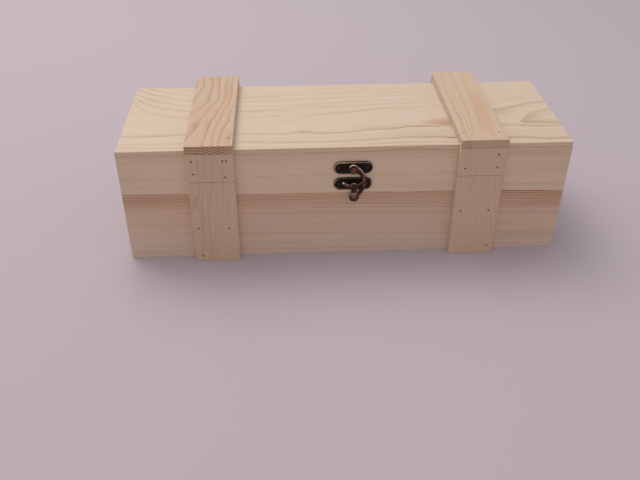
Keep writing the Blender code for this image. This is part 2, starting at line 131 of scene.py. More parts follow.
def newMaterial(name):
    material = bpy.data.materials.new(name)
    material.use_nodes = True
    tree = material.node_tree
    return material, tree.nodes["Principled BSDF"], partial(addNode, tree)


def toMesh(bm, name, angle=None):
    # smooth where an angle in degrees is given, but for edges above it
    mesh = bpy.data.meshes.new(name)
    bm.to_mesh(mesh)
    bm.free()
    if angle:
        mesh.shade_smooth()
        mesh.set_sharp_from_angle(angle=math.radians(angle))
    return mesh


def addCamera():
    scene.view_settings.view_transform = "Standard"
    camera = bpy.data.objects.new("camera", bpy.data.cameras.new("camera"))
    camera.location = view["place"]
    camera.rotation_euler = [math.radians(a) for a in view["turn"]]
    camera.data.lens = view["lens"]
    camera.data.clip_start = 0.01
    scene.collection.objects.link(camera)
    scene.camera = camera


def addLamps():
    for name, (place, aim, size, power, colour) in studio["lamps"].items():
        lamp = bpy.data.objects.new(name, bpy.data.lights.new(name, "AREA"))
        lamp.data.size = size
        lamp.data.energy = power
        lamp.data.color = toLinear(colour)
        lamp.location = place
        lamp.rotation_euler = (Vector(place) - Vector(aim)).to_track_quat("Z", "Y").to_euler()
        scene.collection.objects.link(lamp)


def addWorld():
    world = bpy.data.worlds.new("studio")
    world.use_nodes = True
    scene.world = world
    tree = world.node_tree
    sky = tree.nodes["Background"]
    feed(sky, studio["sky"], studio["skyStrength"])
    backdrop = addNode(tree, "Background", studio["backdrop"], 1.0)
    rays = addNode(tree, "LightPath").outputs
    seen = addNode(tree, "Math", rays["Is Camera Ray"], rays["Is Glossy Ray"], operation="MAXIMUM")
    seen = addNode(tree, "Math", seen, rays["Is Transmission Ray"], operation="MAXIMUM")
    feed(tree.nodes["World Output"], addNode(tree, "MixShader", seen, sky, backdrop))


def addFloor():
    bm = bmesh.new()
    bmesh.ops.create_circle(bm, cap_ends=True, segments=96, radius=9)
    floor = bpy.data.objects.new("floor", toMesh(bm, "floor"))
    floor.location.z = cadBox[0].z
    paper, shader = newMaterial("matte paper")[:2]
    feed(shader, named={"Base Color": studio["floor"], "Roughness": studio["floorRoughness"]})
    floor.data.materials.append(paper)
    scene.collection.objects.link(floor)


addCamera()
addLamps()
addWorld()
addFloor()
print("camera, floor and light set")


# Pine: how the growth rings run across each board
# A line is (ring number, how dark, {along: across} in mm); the first two may change along the
# board too, as {along: value}. Between two lines the ring numbers run on evenly, and outside
# them they go by pitch. A ring's dark late wood ends sharply towards the higher numbers.

topFigure = {
    "along": "x",
    "across": "y",
    "pitch": 4,  # mm between rings
    "lean": 0.3,  # rings for each mm of depth
    "crisp": 1.35,  # above 1 the rings crowd towards the lines
    "fine": (4, 0.1),  # faint rings for each drawn one, and how dark
    "lateWood": "#966c3e",
    "strength": 0.55,
    "blushAndShade": "#bf8350",
    "tones": {-6: "#d4c5b4", 4: "#d4c5b4"},
    "lines": [
        (-1, {-175: 0.45, -100: 0.25, 10: 0.25, 45: 0.6, 80: 0.45, 150: 0.3}, {-175: 5.7, -125: 3.5,
         -80: 2.3, -6: 2.3, 20: 3, 45: 5, 58: 4.2, 85: 2.3, 126: 0.2, 175: -0.8}),
        (-2, {-175: 0.5, -125: 0.42, -85: 0.6, -20: 0.65, 10: 1, 45: 1.3, 85: 1.4, 130: 0.85, 175: 0.75},
         {-175: 11.7, -150: 10.7, -125: 10.5, -67: 10.2, -55: 9.3, -17: 9, 4: 9.5, 36: 12, 53: 13.2,
         62: 12.5, 71: 12.7, 85: 10.5, 126: 8.5, 140: 8.1, 152: 6, 175: 6}),
        (-3, {-130: 0.6, -85: 0.45, -60: 0.45, -42: 0.6, -35: 0.9, -27: 0.85, -18: 0.9, 0: 0.85, 15: 0.85,
         30: 0.9, 48: 1.2, 60: 2.1, 85: 2.3, 130: 2.6, 150: 1.5, 175: 1.3}, {-175: 24.4, -158: 23.1,
         -140: 24, -122: 25.7, -86: 24.8, -61: 23.6, -48: 24.1, -32: 25.7, -20: 23.3, -11: 23, 1: 23.6,
         9: 24.8, 16: 26.9, 33: 27.8, 40: 28.6, 51: 31.7, 59: 32.3, 85: 31.7, 126: 30.7, 141: 30.3,
         147: 29.3, 160: 28.3, 175: 28.1}),
        # a spear that opens to the right, then a second one inside it
        ({50: -3.44, 62: -3.6, 68: -3.9, 75: -4}, {-175: 0.5, 60: 0.6, 85: 0.9, 175: 0.95}, {-175: 28.2,
         -122: 29.2, -48: 27.5, -32: 29.3, -11: 26.5, 1: 27.1, 16: 30.3, 33: 31.3, 46: 33.3, 62: 34.9,
         85: 33.5, 126: 32.3, 150: 31.5, 175: 31.3}),
        ({50: -3.5, 62: -3.8, 70: -4.03, 85: -4.12, 126: -4.5, 138: -4.7, 143: -4.9, 147: -5}, {60: 0.4,
         85: 0.8, 140: 1, 175: 1.2}, {-175: 31.7, -32: 32.2, -11: 30.2, 16: 33.7, 46: 35.7, 126: 35.7,
         146: 33.9, 155: 33.1, 175: 33.1}),
        ({50: -3.53, 60: -3.85, 64: -4.02, 90: -4.15, 126: -4.55, 138: -4.75, 144: -5.02, 150: -5.12,
         175: -5.6}, {60: 0.3, 75: 0.55, 100: 0.6, 126: 0.5, 144: 0.6, 150: 0.35, 175: 0.2}, {-175: 39,
         0: 41, 40: 42, 62: 37.8, 85: 40, 126: 41, 146: 37.5, 154: 39.5, 175: 45}),
        ({50: -3.5, 60: -3.75, 66: -4, 85: -4.08, 105: -4.2, 126: -4.45, 138: -4.65, 143: -4.95, 146: -5},
         {60: 0.3, 75: 0.5, 100: 0.5, 126: 0.4, 146: 0.8, 160: 0.65, 175: 0.5}, {-175: 44, 0: 47, 40: 46,
         62: 38.6, 85: 43, 126: 47, 138: 42, 143.5: 39.8, 147: 40.9, 148.5: 44.4, 150.7: 48, 154.4: 51.2,
         158: 53.9, 167: 57.1, 171.6: 60.3, 175: 62.5}),
        ({50: -3.48, 60: -3.7, 64: -3.95, 68: -4}, {60: 0.4, 85: 0.5, 126: 0.75, 150: 0.85, 175: 0.7},
         {-175: 55, -86: 48.5, 0: 53, 50: 56, 58: 46, 62.8: 39.5, 66.5: 41.3, 71.5: 43.2, 85.3: 46.8,
         105: 54, 126.2: 61.7, 130.7: 62.6, 144.4: 65.8, 151.6: 68.9, 161.6: 72.1, 175: 75}),
        ({60: -3.42, 68: -3.5}, 0.3, {-175: 85, -169.6: 77, -159.6: 66.5, -150.5: 60.8, -128.7: 51.5,
         -86: 50, -67: 52.5, -26: 53.5, 11.5: 58.8, 26.5: 62.5, 51.5: 63, 66: 55, 85: 60, 126: 71, 175: 84}),
        (-3, {-175: 0.21, -165: 0.39, -150: 0.42, -125: 0.4, -86: 0.4, -70: 0.5, -30: 0.3, -15: 0.41,
         10: 0.52, 25: 0.41, 50: 0.3, 70: 0.12}, {-175: 91.6, -166.9: 79.2, -159.6: 71.1, -150.5: 65.4,
         -139.6: 60.9, -128.7: 55.9, -105: 53.9, -86: 54.1, -67.3: 56.7, -26: 57.8, -11: 60.5, 11.5: 63.1,
         16.5: 64.9, 26.5: 67, 51.5: 68.6, 85: 72.1, 126: 78.6, 175: 91.6}),
        (-2, {-175: 0.75, -160: 0.8, -145: 0.5, -125: 0.45, -86: 0.5, -62: 0.5, -50: 0.38, 50: 0.38,
         175: 0.15}, {-175: 97.8, -170.5: 94.1, -165: 87.2, -157.8: 81.8, -148.7: 76.9, -136.9: 73.1,
         -126.5: 69.8, -86: 68, -61: 68.5, -48.5: 71.1, 1.5: 73.6, 51.5: 77.4, 85: 80.1, 126: 84.1,
         175: 96.6}),
        (-1, {-175: 0.7, -155: 0.65, -145: 0.45, -125: 0.45, -86: 0.25, 30: 0.35, 85: 0.2, 175: 0.22},
         {-175: 105.6, -169.6: 102.2, -158.7: 93.1, -154.2: 89.8, -143.3: 86.2, -139.6: 83.7, -126.9: 80.4,
         -86: 76.6, -23.5: 78.9, 1.5: 81.1, 33: 83.9, 85: 86.1, 126: 89.6, 175: 98.6}),
        (0, {-175: 0.65, -160: 0.95, -150: 0.65, -140: 0.45, -86: 0.3, -70: 0.45, 0: 0.5, 30: 0.25,
         175: 0.3}, {-175: 116.1, -167.8: 110.9, -157.8: 103.1, -148.7: 99.5, -144.2: 97, -134.2: 92.4,
         -126.9: 91.3, -86: 86.1, -54.8: 87.6, -17.3: 89.6, 1.5: 91.4, 39: 93, 126: 93.6, 175: 100.6}),
        (1, {-175: 0.4, -160: 0.6, -150: 0.5, -140: 0.4, -86: 0.35, -70: 0.45, 0: 0.5, 30: 0.3},
         {-175: 124.6, -164.2: 117.7, -153.3: 110.4, -140.5: 105, -126.9: 102, -86: 95.8, -61: 96.4,
         -42.3: 98.6, 14: 100.5, 126: 100.6, 175: 105.6}),
        (2, 0.22, {-175: 132.6, -140: 114.6, -126: 110.6, -86: 104.6, -48: 104.2, 1.5: 106.4, 126: 106.6,
         175: 109.6}),
        (3, 0.18, {-175: 138.6, -126: 117.6, -86: 110.1, 0: 111.6, 126: 112.6, 175: 114.6}),
    ],
    # soft orange places: (along, across, half length, half width, amount)
    "blushesAndShades": [(-32, 27.5, 6, 2.2, 0.65), (28, 31, 16, 2.2, 0.4), (82, 38.8, 17, 5, 0.5),
        (148, 37, 4.5, 3, 0.45), (130, 57, 8, 4, 0.35), (-160, 90, 22, 12, 0.1), (150, 64, 16, 3, 0.12),
        (-60, 66.5, 20, 2, 0.2)],
}
frontFigure = {
    "along": "x",
    "across": "z",
    "pitch": 5,
    "lean": 0.2,
    "crisp": 1,
    "fine": (2, 0.07),
    "lateWood": "#9a6446",
    "strength": 0.7,
    "blushAndShade": "#996546",
    "tones": {0: "#d1bcb0", 2: "#d1bbae", 3: "#d2b8a7", 5: "#d0b3a1", 5.9: "#d0b3a1", 6.2: "#ccaf99",
              12.86: "#cbad95", 12.96: "#d9c3ad", 16.4: "#d9c3ad", 17.2: "#d7bea7", 20: "#d8c0aa"},
    "lines": [
        (0, 0.1, {-175: 1, 175: -1}),
        (1, 0.2, {-175: 6, 0: 5, 175: 4}),
        (2, 0.15, {-175: 13, 0: 11.5, 175: 9}),
        (3, {-175: 0.12, -86: 0.28, 50: 0.25, 110: 0.2}, {-175: 23.5, -86: 22, 0: 20, 85: 17.5, 175: 14}),
        (4, 0.1, {-175: 32, 0: 29, 175: 24}),
        (5, {-175: 0.08, -60: 0.25, 54: 0.3, 150: 0.35, 175: 0.3}, {-175: 43, -50: 41, 54: 38.6, 150: 36,
         175: 35.2}),
        (6, {0: 0.3, 126: 0.5, 175: 0.45}, {-175: 47.6, -86: 46.4, -50: 45.9, 54: 43.6, 85: 42.8,
         175: 40.5}),
        (7, {-175: 0.45, 0: 0.88, 110: 0.5, 130: 0.65}, {-175: 50, -86: 49, 0: 48.3, 85: 46.2, 175: 42.3}),
        (8, {-175: 0.8, -86: 0.6, 110: 0.5, 130: 0.65}, {-175: 52.4, -86: 51, 0: 50, 85: 48, 175: 44.2}),
        (9, {-175: 1.14, -86: 0.95, 110: 0.95, 130: 0.68}, {-175: 54.2, -86: 53.4, 0: 52.4, 85: 50.5,
         175: 47.3}),
        (10, {110: 0.9, 130: 1.17, 175: 0.65}, {-175: 56, -86: 54.9, 0: 53.9, 85: 52.3, 175: 49.5}),
        (11, {-175: 1.5, -86: 0.94, 110: 0.94, 130: 1.23}, {-175: 57.8, -86: 56.2, 0: 55.2, 85: 53.8,
         175: 51.2}),
        (12, {0: 0.96, 100: 1.08, 130: 1.69}, {-175: 59.2, -86: 57.6, 0: 56.6, 85: 55.3, 175: 52.6}),
        (13, {-175: 0.98, -86: 0.8, 0: 0.75, 85: 1.03, 126: 1.61}, {-175: 60.6, -125: 59.7, -86: 58.7,
         0: 57.7, 85: 56.5, 126: 56, 150: 55.2, 175: 54}),
        (14, {-175: 0.02, -110: 0, 100: 0, 175: 0.02}, {-175: 68, 175: 63}),
        (15, {-175: 0.04, -110: 0.01, 100: 0.01, 175: 0.04}, {-175: 76, 175: 73}),
        (16, {-175: 0.09, -110: 0.04, 100: 0.04, 175: 0.09}, {-175: 83, 175: 81}),
        (17, {-175: 0.14, -120: 0.08, -20: 0.04, 126: 0.16, 175: 0.2}, {-175: 89, 175: 87.5}),
        (18, {-175: 0.21, 0: 0.17, 175: 0.28}, {-175: 93, 0: 92.5, 175: 92}),
        (19, 0.1, {-175: 98, 175: 97}),
    ],
    # soft orange places, as on the top; the last two darken both ends of the front: painted shade
    "blushesAndShades": [(-160, 55, 30, 5.5, 0.35), (152, 89.5, 30, 2.4, 0.3), (165, 48, 34, 7, 0.4),
        (155, 13.5, 30, 4.5, 0.26), (-185, 80, 40, 16, 0.2), (190, 78, 40, 16, 0.2)],
}
frontBatten = {
    "along": "z",
    "across": "x",
    "crisp": 1,
    "lateWood": "#8e6350",
    # a paler tone on the side faces: painted side light
    "sides": (0.8, "#e6cab4"),
    "blushAndShade": "#b0785a",
}
leftFrontFigure = {
    **frontBatten,
    "pitch": 4,
    "lean": 0.5,
    "fine": (3, 0.1),
    "strength": 0.6,
    "tones": {0: "#caae96", 8: "#cbb099"},
    "lines": [
        (0, 0.15, {105: -118.8, 75: -118.8, 60: -120.8, 50: -123.3, 0: -123.3}),
        (1, {0: 0.07, 50: 0.21, 58: 0.39, 80: 0.28, 105: 0.14}, {105: -112.8, 84: -113.2, 77: -114.3,
         73: -112.7, 68: -113.1, 62: -114.3, 58: -116.7, 50: -120.8, 0: -121.3}),
        (2, {0: 0.3, 50: 0.4, 70: 0.3, 105: 0.2}, {105: -109.8, 66: -109.7, 62: -110.8, 57: -112.4,
         50: -113.1, 38: -112.2, 28: -114, 20: -113.2, 10: -115.3, 0: -116.3}),
        (3, 0.5, {105: -107.3, 75: -107.8, 68: -108.1, 60: -107.1, 45: -107.3, 38: -107.9, 0: -107.9}),
        (4, {0: 0.2, 50: 0.3, 100: 0.4}, {105: -102.5, 80: -102.1, 70: -103.7, 65: -104.9, 58: -105.7,
         50: -105.5, 35: -104.3, 0: -104.3}),
        (5, 0.12, {105: -99.8, 75: -101.3, 60: -100.9, 38: -101.5, 0: -100.8}),
        (6, {0: 0.08, 50: 0.15, 75: 0.25, 100: 0.2}, {105: -93.8, 68: -95.4, 58: -96.1, 50: -97.3, 30: -98.5,
         0: -97.3}),
        (7, 0.1, {105: -89.3, 60: -90.8, 30: -92.3, 0: -91.3}),
        (8, 0.22, {105: -84.3, 0: -86.3}),
    ],
    "blushesAndShades": [(56, -118.5, 7, 3.5, 0.35), (30, -120, 10, 2, 0.2), (95, -104, 10, 6, 0.12)],
}
sideways = {105: 0, 85: 0.2, 74: 0.8, 50: 3.6, 30: 7, 0: 12}  # mm at each height


def slanted(across):
    return {height: across + more for height, more in sideways.items()}


rightFrontFigure = {
    **frontBatten,
    "pitch": 2.9,
    "lean": 0.3,
    "fine": (2, 0.1),
    "strength": 0.42,
    "tones": {0: "#cdb39c", 4: "#ccb29b", 8: "#cbb09a"},
    "lines": [
        (ring, dark, slanted(across))
        for ring, (dark, across) in enumerate([
            (0.25, 74), (0.15, 77.5), (0.3, 80.5), (0.2, 84), (0.3, 87.5), (0.15, 90.5), (0.36, 93.2),
            (0.2, 95.6), (0.34, 98.4), (0.2, 101), (0.3, 104), (0.15, 107.4), (0.25, 111), (0.2, 115),
            (0.3, 119),
        ])
    ],
    "blushesAndShades": [(92, 93, 12, 3, 0.15)],
}
topBatten = {
    "along": "y",
    "across": "x",
    "pitch": 6,
    "crisp": 1.15,
    # a paler tone on the side faces: painted side light
    "sides": (0.6, "#d2bfae"),
}
leftTopFigure = {
    **topBatten,
    "lean": -0.47,
    "fine": (3, 0.1),
    "lateWood": "#8d664b",
    "endWood": "#8c5137",
    "strength": 0.5,
    "blushAndShade": "#b87a4c",
    "tones": {0: "#c9b09b", 6: "#c9b09a"},
    "lines": [
        (0, {-7: 0.4, 75: 0.75, 95: 0.8, 125: 0.5}, {125: -117.4, 112: -115.8, 105: -114.9, 97: -116.2,
         90: -117.8, 80: -119.5, 50: -125.9, -7: -132.9}),
        (1, {50: 0.55, 70: 0.6, 100: 0.9, 125: 0.8}, {125: -109.9, 120: -109.6, 112: -108.2, 105: -107.5,
         95: -107.3, 80: -109.1, 73: -108.7, 69: -109.7, 66: -111.9, 62: -114.1, 57: -115.5, 51: -120.3,
         40: -123.4, -7: -128.9}),
        (2, {0: 0.5, 12: 0.85, 28: 1, 36: 0.75, 45: 0.4, 55: 0.65, 75: 0.6, 90: 0.8, 125: 0.75},
         {125: -101.9, 107: -102.1, 92: -101.2, 85: -101.1, 72: -102.5, 68: -104.1, 62: -106.5, 55: -107.9,
         43: -111.5, 33: -114, 22: -115.5, 18: -116.9, 5: -120.9, -7: -124.9}),
        (3, {0: 0.65, 15: 0.85, 30: 0.9, 38: 0.65, 45: 0.85, 65: 0.75, 75: 0.6, 100: 0.85, 125: 0.5},
         {125: -95.3, 113: -95.2, 105: -95.9, 90: -95, 75: -95.4, 66: -97.2, 55: -99.8, 45: -101.3,
         36: -104.1, 25: -105.4, 12: -106.7, -7: -108.2}),
        (4, {-7: 0.55, 20: 0.65, 45: 0.55, 58: 0.3, 66: 0.65, 95: 0.85, 125: 0.5}, {125: -90.9, 110: -91.4,
         90: -90.5, 72: -91.4, 66: -92.3, 52: -96, 38: -97.2, 27: -99.6, 10: -101.1, -7: -101.3}),
        (5, {20: 0.75, 40: 0.9, 52: 0.65, 66: 0.4, 125: 0.3}, {125: -84.9, 80: -84.9, 66: -85.9, 55: -89.2,
         47: -90.5, 38: -90, 28: -92.2, 18: -94.5, 3: -96.2, -7: -96.5}),
        (6, 0.3, {125: -78.9, 66: -81.9, 40: -83.9, 20: -86.2, 2: -88.7, -7: -89.9}),
    ],
    "blushesAndShades": [(27, -117.4, 7, 2.2, 0.8), (26, -106.8, 8, 1.5, 0.5), (85, -94, 18, 2, 0.35),
        (118, -106.5, 6, 3, 0.4), (6, -90, 6, 2.2, 0.45), (58, -114, 8, 3, 0.15)],
}
rightTopFigure = {
    **topBatten,
    "lean": -0.5,
    "fine": (4, 0.12),
    "lateWood": "#97694c",
    "strength": 0.7,
    "blushAndShade": "#bf8350",
    "tones": {0: "#ceb8a3", 6: "#cdb7a1"},
    "lines": [
        (-1, {50: 0.1, 85: 0.25, 105: 0.2}, {125: 89.9, 105: 88.7, 95: 87.7, 60: 84.9, -7: 83.9}),
        (0, {-7: 0.45, 20: 0.5, 60: 0.45, 100: 0.5}, {125: 94.7, 110: 93.4, 100: 93.6, 90: 92.6, 60: 92.3,
         50: 92, 40: 92.5, 20: 92.7, -7: 91.4}),
        (1, {-7: 0.4, 30: 0.3, 50: 0.05}, {125: 97.9, 60: 96.7, 20: 95.9, -7: 93.4}),
        (2, {-7: 0.1, 15: 0.42}, {122: 101.7, 110: 102.1, 80: 102.1, 60: 101.2, 40: 100.4, 20: 98.7,
         -7: 95.4}),
        (3, {-7: 0.1, 20: 0.35, 60: 0.35, 90: 0.15}, {125: 112.9, 80: 110.4, 60: 109.9, 40: 108.3, 20: 106.7,
         -7: 103.9}),
        (4, {-7: 0.05, 20: 0.15, 50: 0.25, 65: 0.2, 90: 0.05}, {125: 121.9, 95: 120.9, 75: 118.7, 50: 117.7,
         42: 118.1, 35: 116.5, 15: 114.7, -7: 112.9}),
        (5, 0.2, {125: 126.9, 50: 123.9, 30: 121.9, -7: 119.9}),
    ],
    "blushesAndShades": [(62, 113, 22, 3.6, 0.5), (25, 111, 24, 4, 0.4), (105, 114, 14, 4, 0.15)],
}


def plainFigure(along, across, middle, seed, tone="#d5c3ae"):
    # a quiet figure for boards that the photograph doesn't show: flat grain in the middle, closer
    # at the sides
    reach = 175 if along == "x" else 60
    # ring number, mm from the middle, mm of bow, how dark
    steps = [(-5, -30, 1, 0.3), (-4, -22, 2, 0.5), (-3, -13, 4, 0.65), (-3.45, -8, 5, 0.3), (-3.5, 3, 6, 0.3),
             (-3, 8, 5, 0.55), (-2, 17, 4, 0.6), (-1, 25, 3, 0.35), (0, 31, 2, 0.5), (1, 36, 1, 0.3)]
    lines = []
    for ring, offset, bow, dark in steps:
        places = np.linspace(-reach, 2 * reach, 7)
        bent = {u: middle + offset + bow * math.cos(1.3 * u / reach + seed) for u in places}
        lines.append((ring, dark, bent))
    return {
        "along": along,
        "across": across,
        "pitch": 5,
        "lean": 0.35,
        "crisp": 1.2,
        "fine": (3, 0.1),
        "lateWood": "#a9733f",
        "strength": 0.6,
        "blushAndShade": "#bf8350",
        "tones": {-5: tone, 1: tone},
        "lines": lines,
        "blushesAndShades": [(0.2 * reach, middle + 6, 30, 6, 0.2)],
    }


def heightAlong(points, along):
    # a smooth curve through given points, straight on past its ends
    u, v = np.array(sorted(points.items()), float).T
    slope = np.gradient(v, u) if len(u) > 2 else np.full(len(u), (v[-1] - v[0]) / (u[-1] - u[0]))
    k = np.clip(np.searchsorted(u, along) - 1, 0, len(u) - 2)
    width = u[k + 1] - u[k]
    t = np.clip((along - u[k]) / width, 0, 1)
    mean = (v[k + 1] - v[k]) / width
    bend = 3 * mean - 2 * slope[k] - slope[k + 1]
    twist = slope[k] + slope[k + 1] - 2 * mean
    inner = v[k] + width * t * (slope[k] + t * (bend + t * twist))
    before = np.minimum(along - u[0], 0) * slope[0]
    after = np.maximum(along - u[-1], 0) * slope[-1]
    return inner + before + after


def valueAlong(value, along):
    if isinstance(value, dict):
        return np.interp(along, list(value), list(value.values()))
    return np.full(len(along), float(value))


boards = {
    "cell": (3.6, 1.3),  # mm along and across the grain between the points that carry the figure
    "wide": (7, 2.2),  # mm between lines from which a line stays thin, and the most that it narrows
    "wave": (30, 9, 0.06),  # mm along and across, and rings, by which the lines wander
    "eased": 0.28,  # mm, edges rubbed round with paper
    "rounding": (0.4, 0.3),  # shares of it: where one more row lies, and from where it counts as edge
    "ragged": 0.09,  # mm that the saw left in the edges
    "chips": 240,  # of those to the metre
    "close": 0.35,  # share of the gap to a neighbour that each board fills
    "gap": 0.5,  # mm, the widest that counts as one
    "matched": (0.12, 0.03, 0.45),  # eased, ragged and close for the two front boards, sawn from one
}


def readFigure(figure, along, across):
    # ring number and darkness at each point
    lines = figure["lines"]
    heights = np.maximum.accumulate([heightAlong(points, along) for ring, dark, points in lines], axis=0)
    rings = [valueAlong(ring, along) for ring, dark, points in lines]
    darks = [valueAlong(dark, along) for ring, dark, points in lines]
    way = np.sign(rings[1] - rings[0])
    ring = rings[0] + (across - heights[0]) * way / figure["pitch"]
    dark = darks[0]
    wide, narrowest = boards["wide"]
    for i in range(len(lines) - 1):
        share = np.clip((across - heights[i]) / np.maximum(heights[i + 1] - heights[i], 1e-6), 0, 1)
        spread = 2 * share - 1
        power = figure["crisp"] * np.clip((heights[i + 1] - heights[i]) / wide, 1, narrowest)
        share = 0.5 + 0.5 * np.sign(spread) * np.abs(spread) ** power
        inside = across > heights[i]
        ring = np.where(inside, rings[i] + share * (rings[i + 1] - rings[i]), ring)
        dark = np.where(inside, darks[i] + share * (darks[i + 1] - darks[i]), dark)
    way = np.sign(rings[-1] - rings[-2])
    past = across > heights[-1]
    return np.where(past, rings[-1] + (across - heights[-1]) * way / figure["pitch"], ring), dark


def setFigure(mesh, figure, node):
    # growth holds the ring number, how dark its line is, and the blush with the painted shade at the front's ends
    co = coordinates(mesh)
    first, second = ("xyz".index(figure[key]) for key in ("along", "across"))
    along, across = ((co - (0, frontY, 0)) / mm)[:, [first, second]].T
    ring, dark = readFigure(figure, along, across)

    # The third axis goes into the board from its outer face
    third = 3 - first - second
    low, high = (corner[third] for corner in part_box(node))
    outer = low if low + high < cadBox[0][third] + cadBox[1][third] else high
    deep = np.abs(co[:, third] - outer) / mm
    long, wide, rings = boards["wave"]
    wave = [noise.noise((u / long, v / wide, len(mesh.vertices))) for u, v in zip(along, across)]
    ring += rings * np.array(wave) + figure["lean"] * deep
    blushAndShade = np.zeros(len(along))
    for u, v, length, width, amount in figure["blushesAndShades"]:
        blushAndShade += amount * np.exp(-(((along - u) / length) ** 2) - ((across - v) / width) ** 2)
    growth = mesh.attributes.new("growth", "FLOAT_VECTOR", "POINT")
    growth.data.foreach_set("vector", np.stack([ring, dark, np.clip(blushAndShade, 0, 1)], 1).ravel())


pineLook = {
    # planed pine, left bare: pale cream early wood, brown late wood, dull, with a little more shine
    # on the hard late wood. The first two sizes of a pattern are mm along and across the grain
    "ring": [(0.0, 0.0), (0.35, 0.04), (0.58, 0.22), (0.74, 0.68), (0.84, 1.0), (0.95, 1.0), (0.985, 0.6),
             (1.0, 0.0)],  # how the dark of one ring rises and stops
    "late": 0.9,  # of a ring, from which its line is drawn
    "ragged": (30, 1.6, 0.1),  # and rings by which a line strays
    "patchy": (60, 7, 0.75, 1.2),  # and the weakest and strongest of a line
    "uneven": (0.6, 0.6),  # the fine rings: how much they differ, and the least
    "shift": 0.4,  # of a fine ring, by which they miss the drawn ones
    "warm": (90, 14, 0.18, "#d0ae8b"),  # and how much of which tone in long soft stretches
    "sawn": 0.5,  # of that tone on the sawn ends
    "sides": (0.5, "#d0ae8b"),  # how much of which tone on the sawn sides
    "blushAndShade": 0.6,
    "endBoost": 1.4,  # late wood is drawn stronger where the saw cut across it
    "endWood": "#9c7051",
    "fibre": (14.0, 0.55, 0.95, 1.04),  # and its shades; far coarser than real fibres, so that they show
    "duct": (9.0, 0.42, 0.16),  # resin ducts, and how dark
    "pores": (0.7143, 0.76, 0.96),  # mm, and shades, of the open pores in the ends
    "edge": -0.08,  # the rubbed edges are darker
    "roughness": (0.54, 0.68, 0.85),  # least, most, and on the ends
    "shine": 0.08,  # how much smoother late wood is
    "ior": 1.5,
    "planer": (1.9, 0.05),  # mm between the planer's marks, and their share of the relief
    "relief": (0.5, 0.3, 0.35, 0.12),  # shares of the fibres and the late wood, strength, and mm
    # noise values between which a pattern changes, and how squarely a sawn face must look its way
    "usual": (0.3, 0.7),
    "soft": (0.35, 0.65),
    "rare": (0.72, 0.8),
    "square": (0.55, 0.8),
}


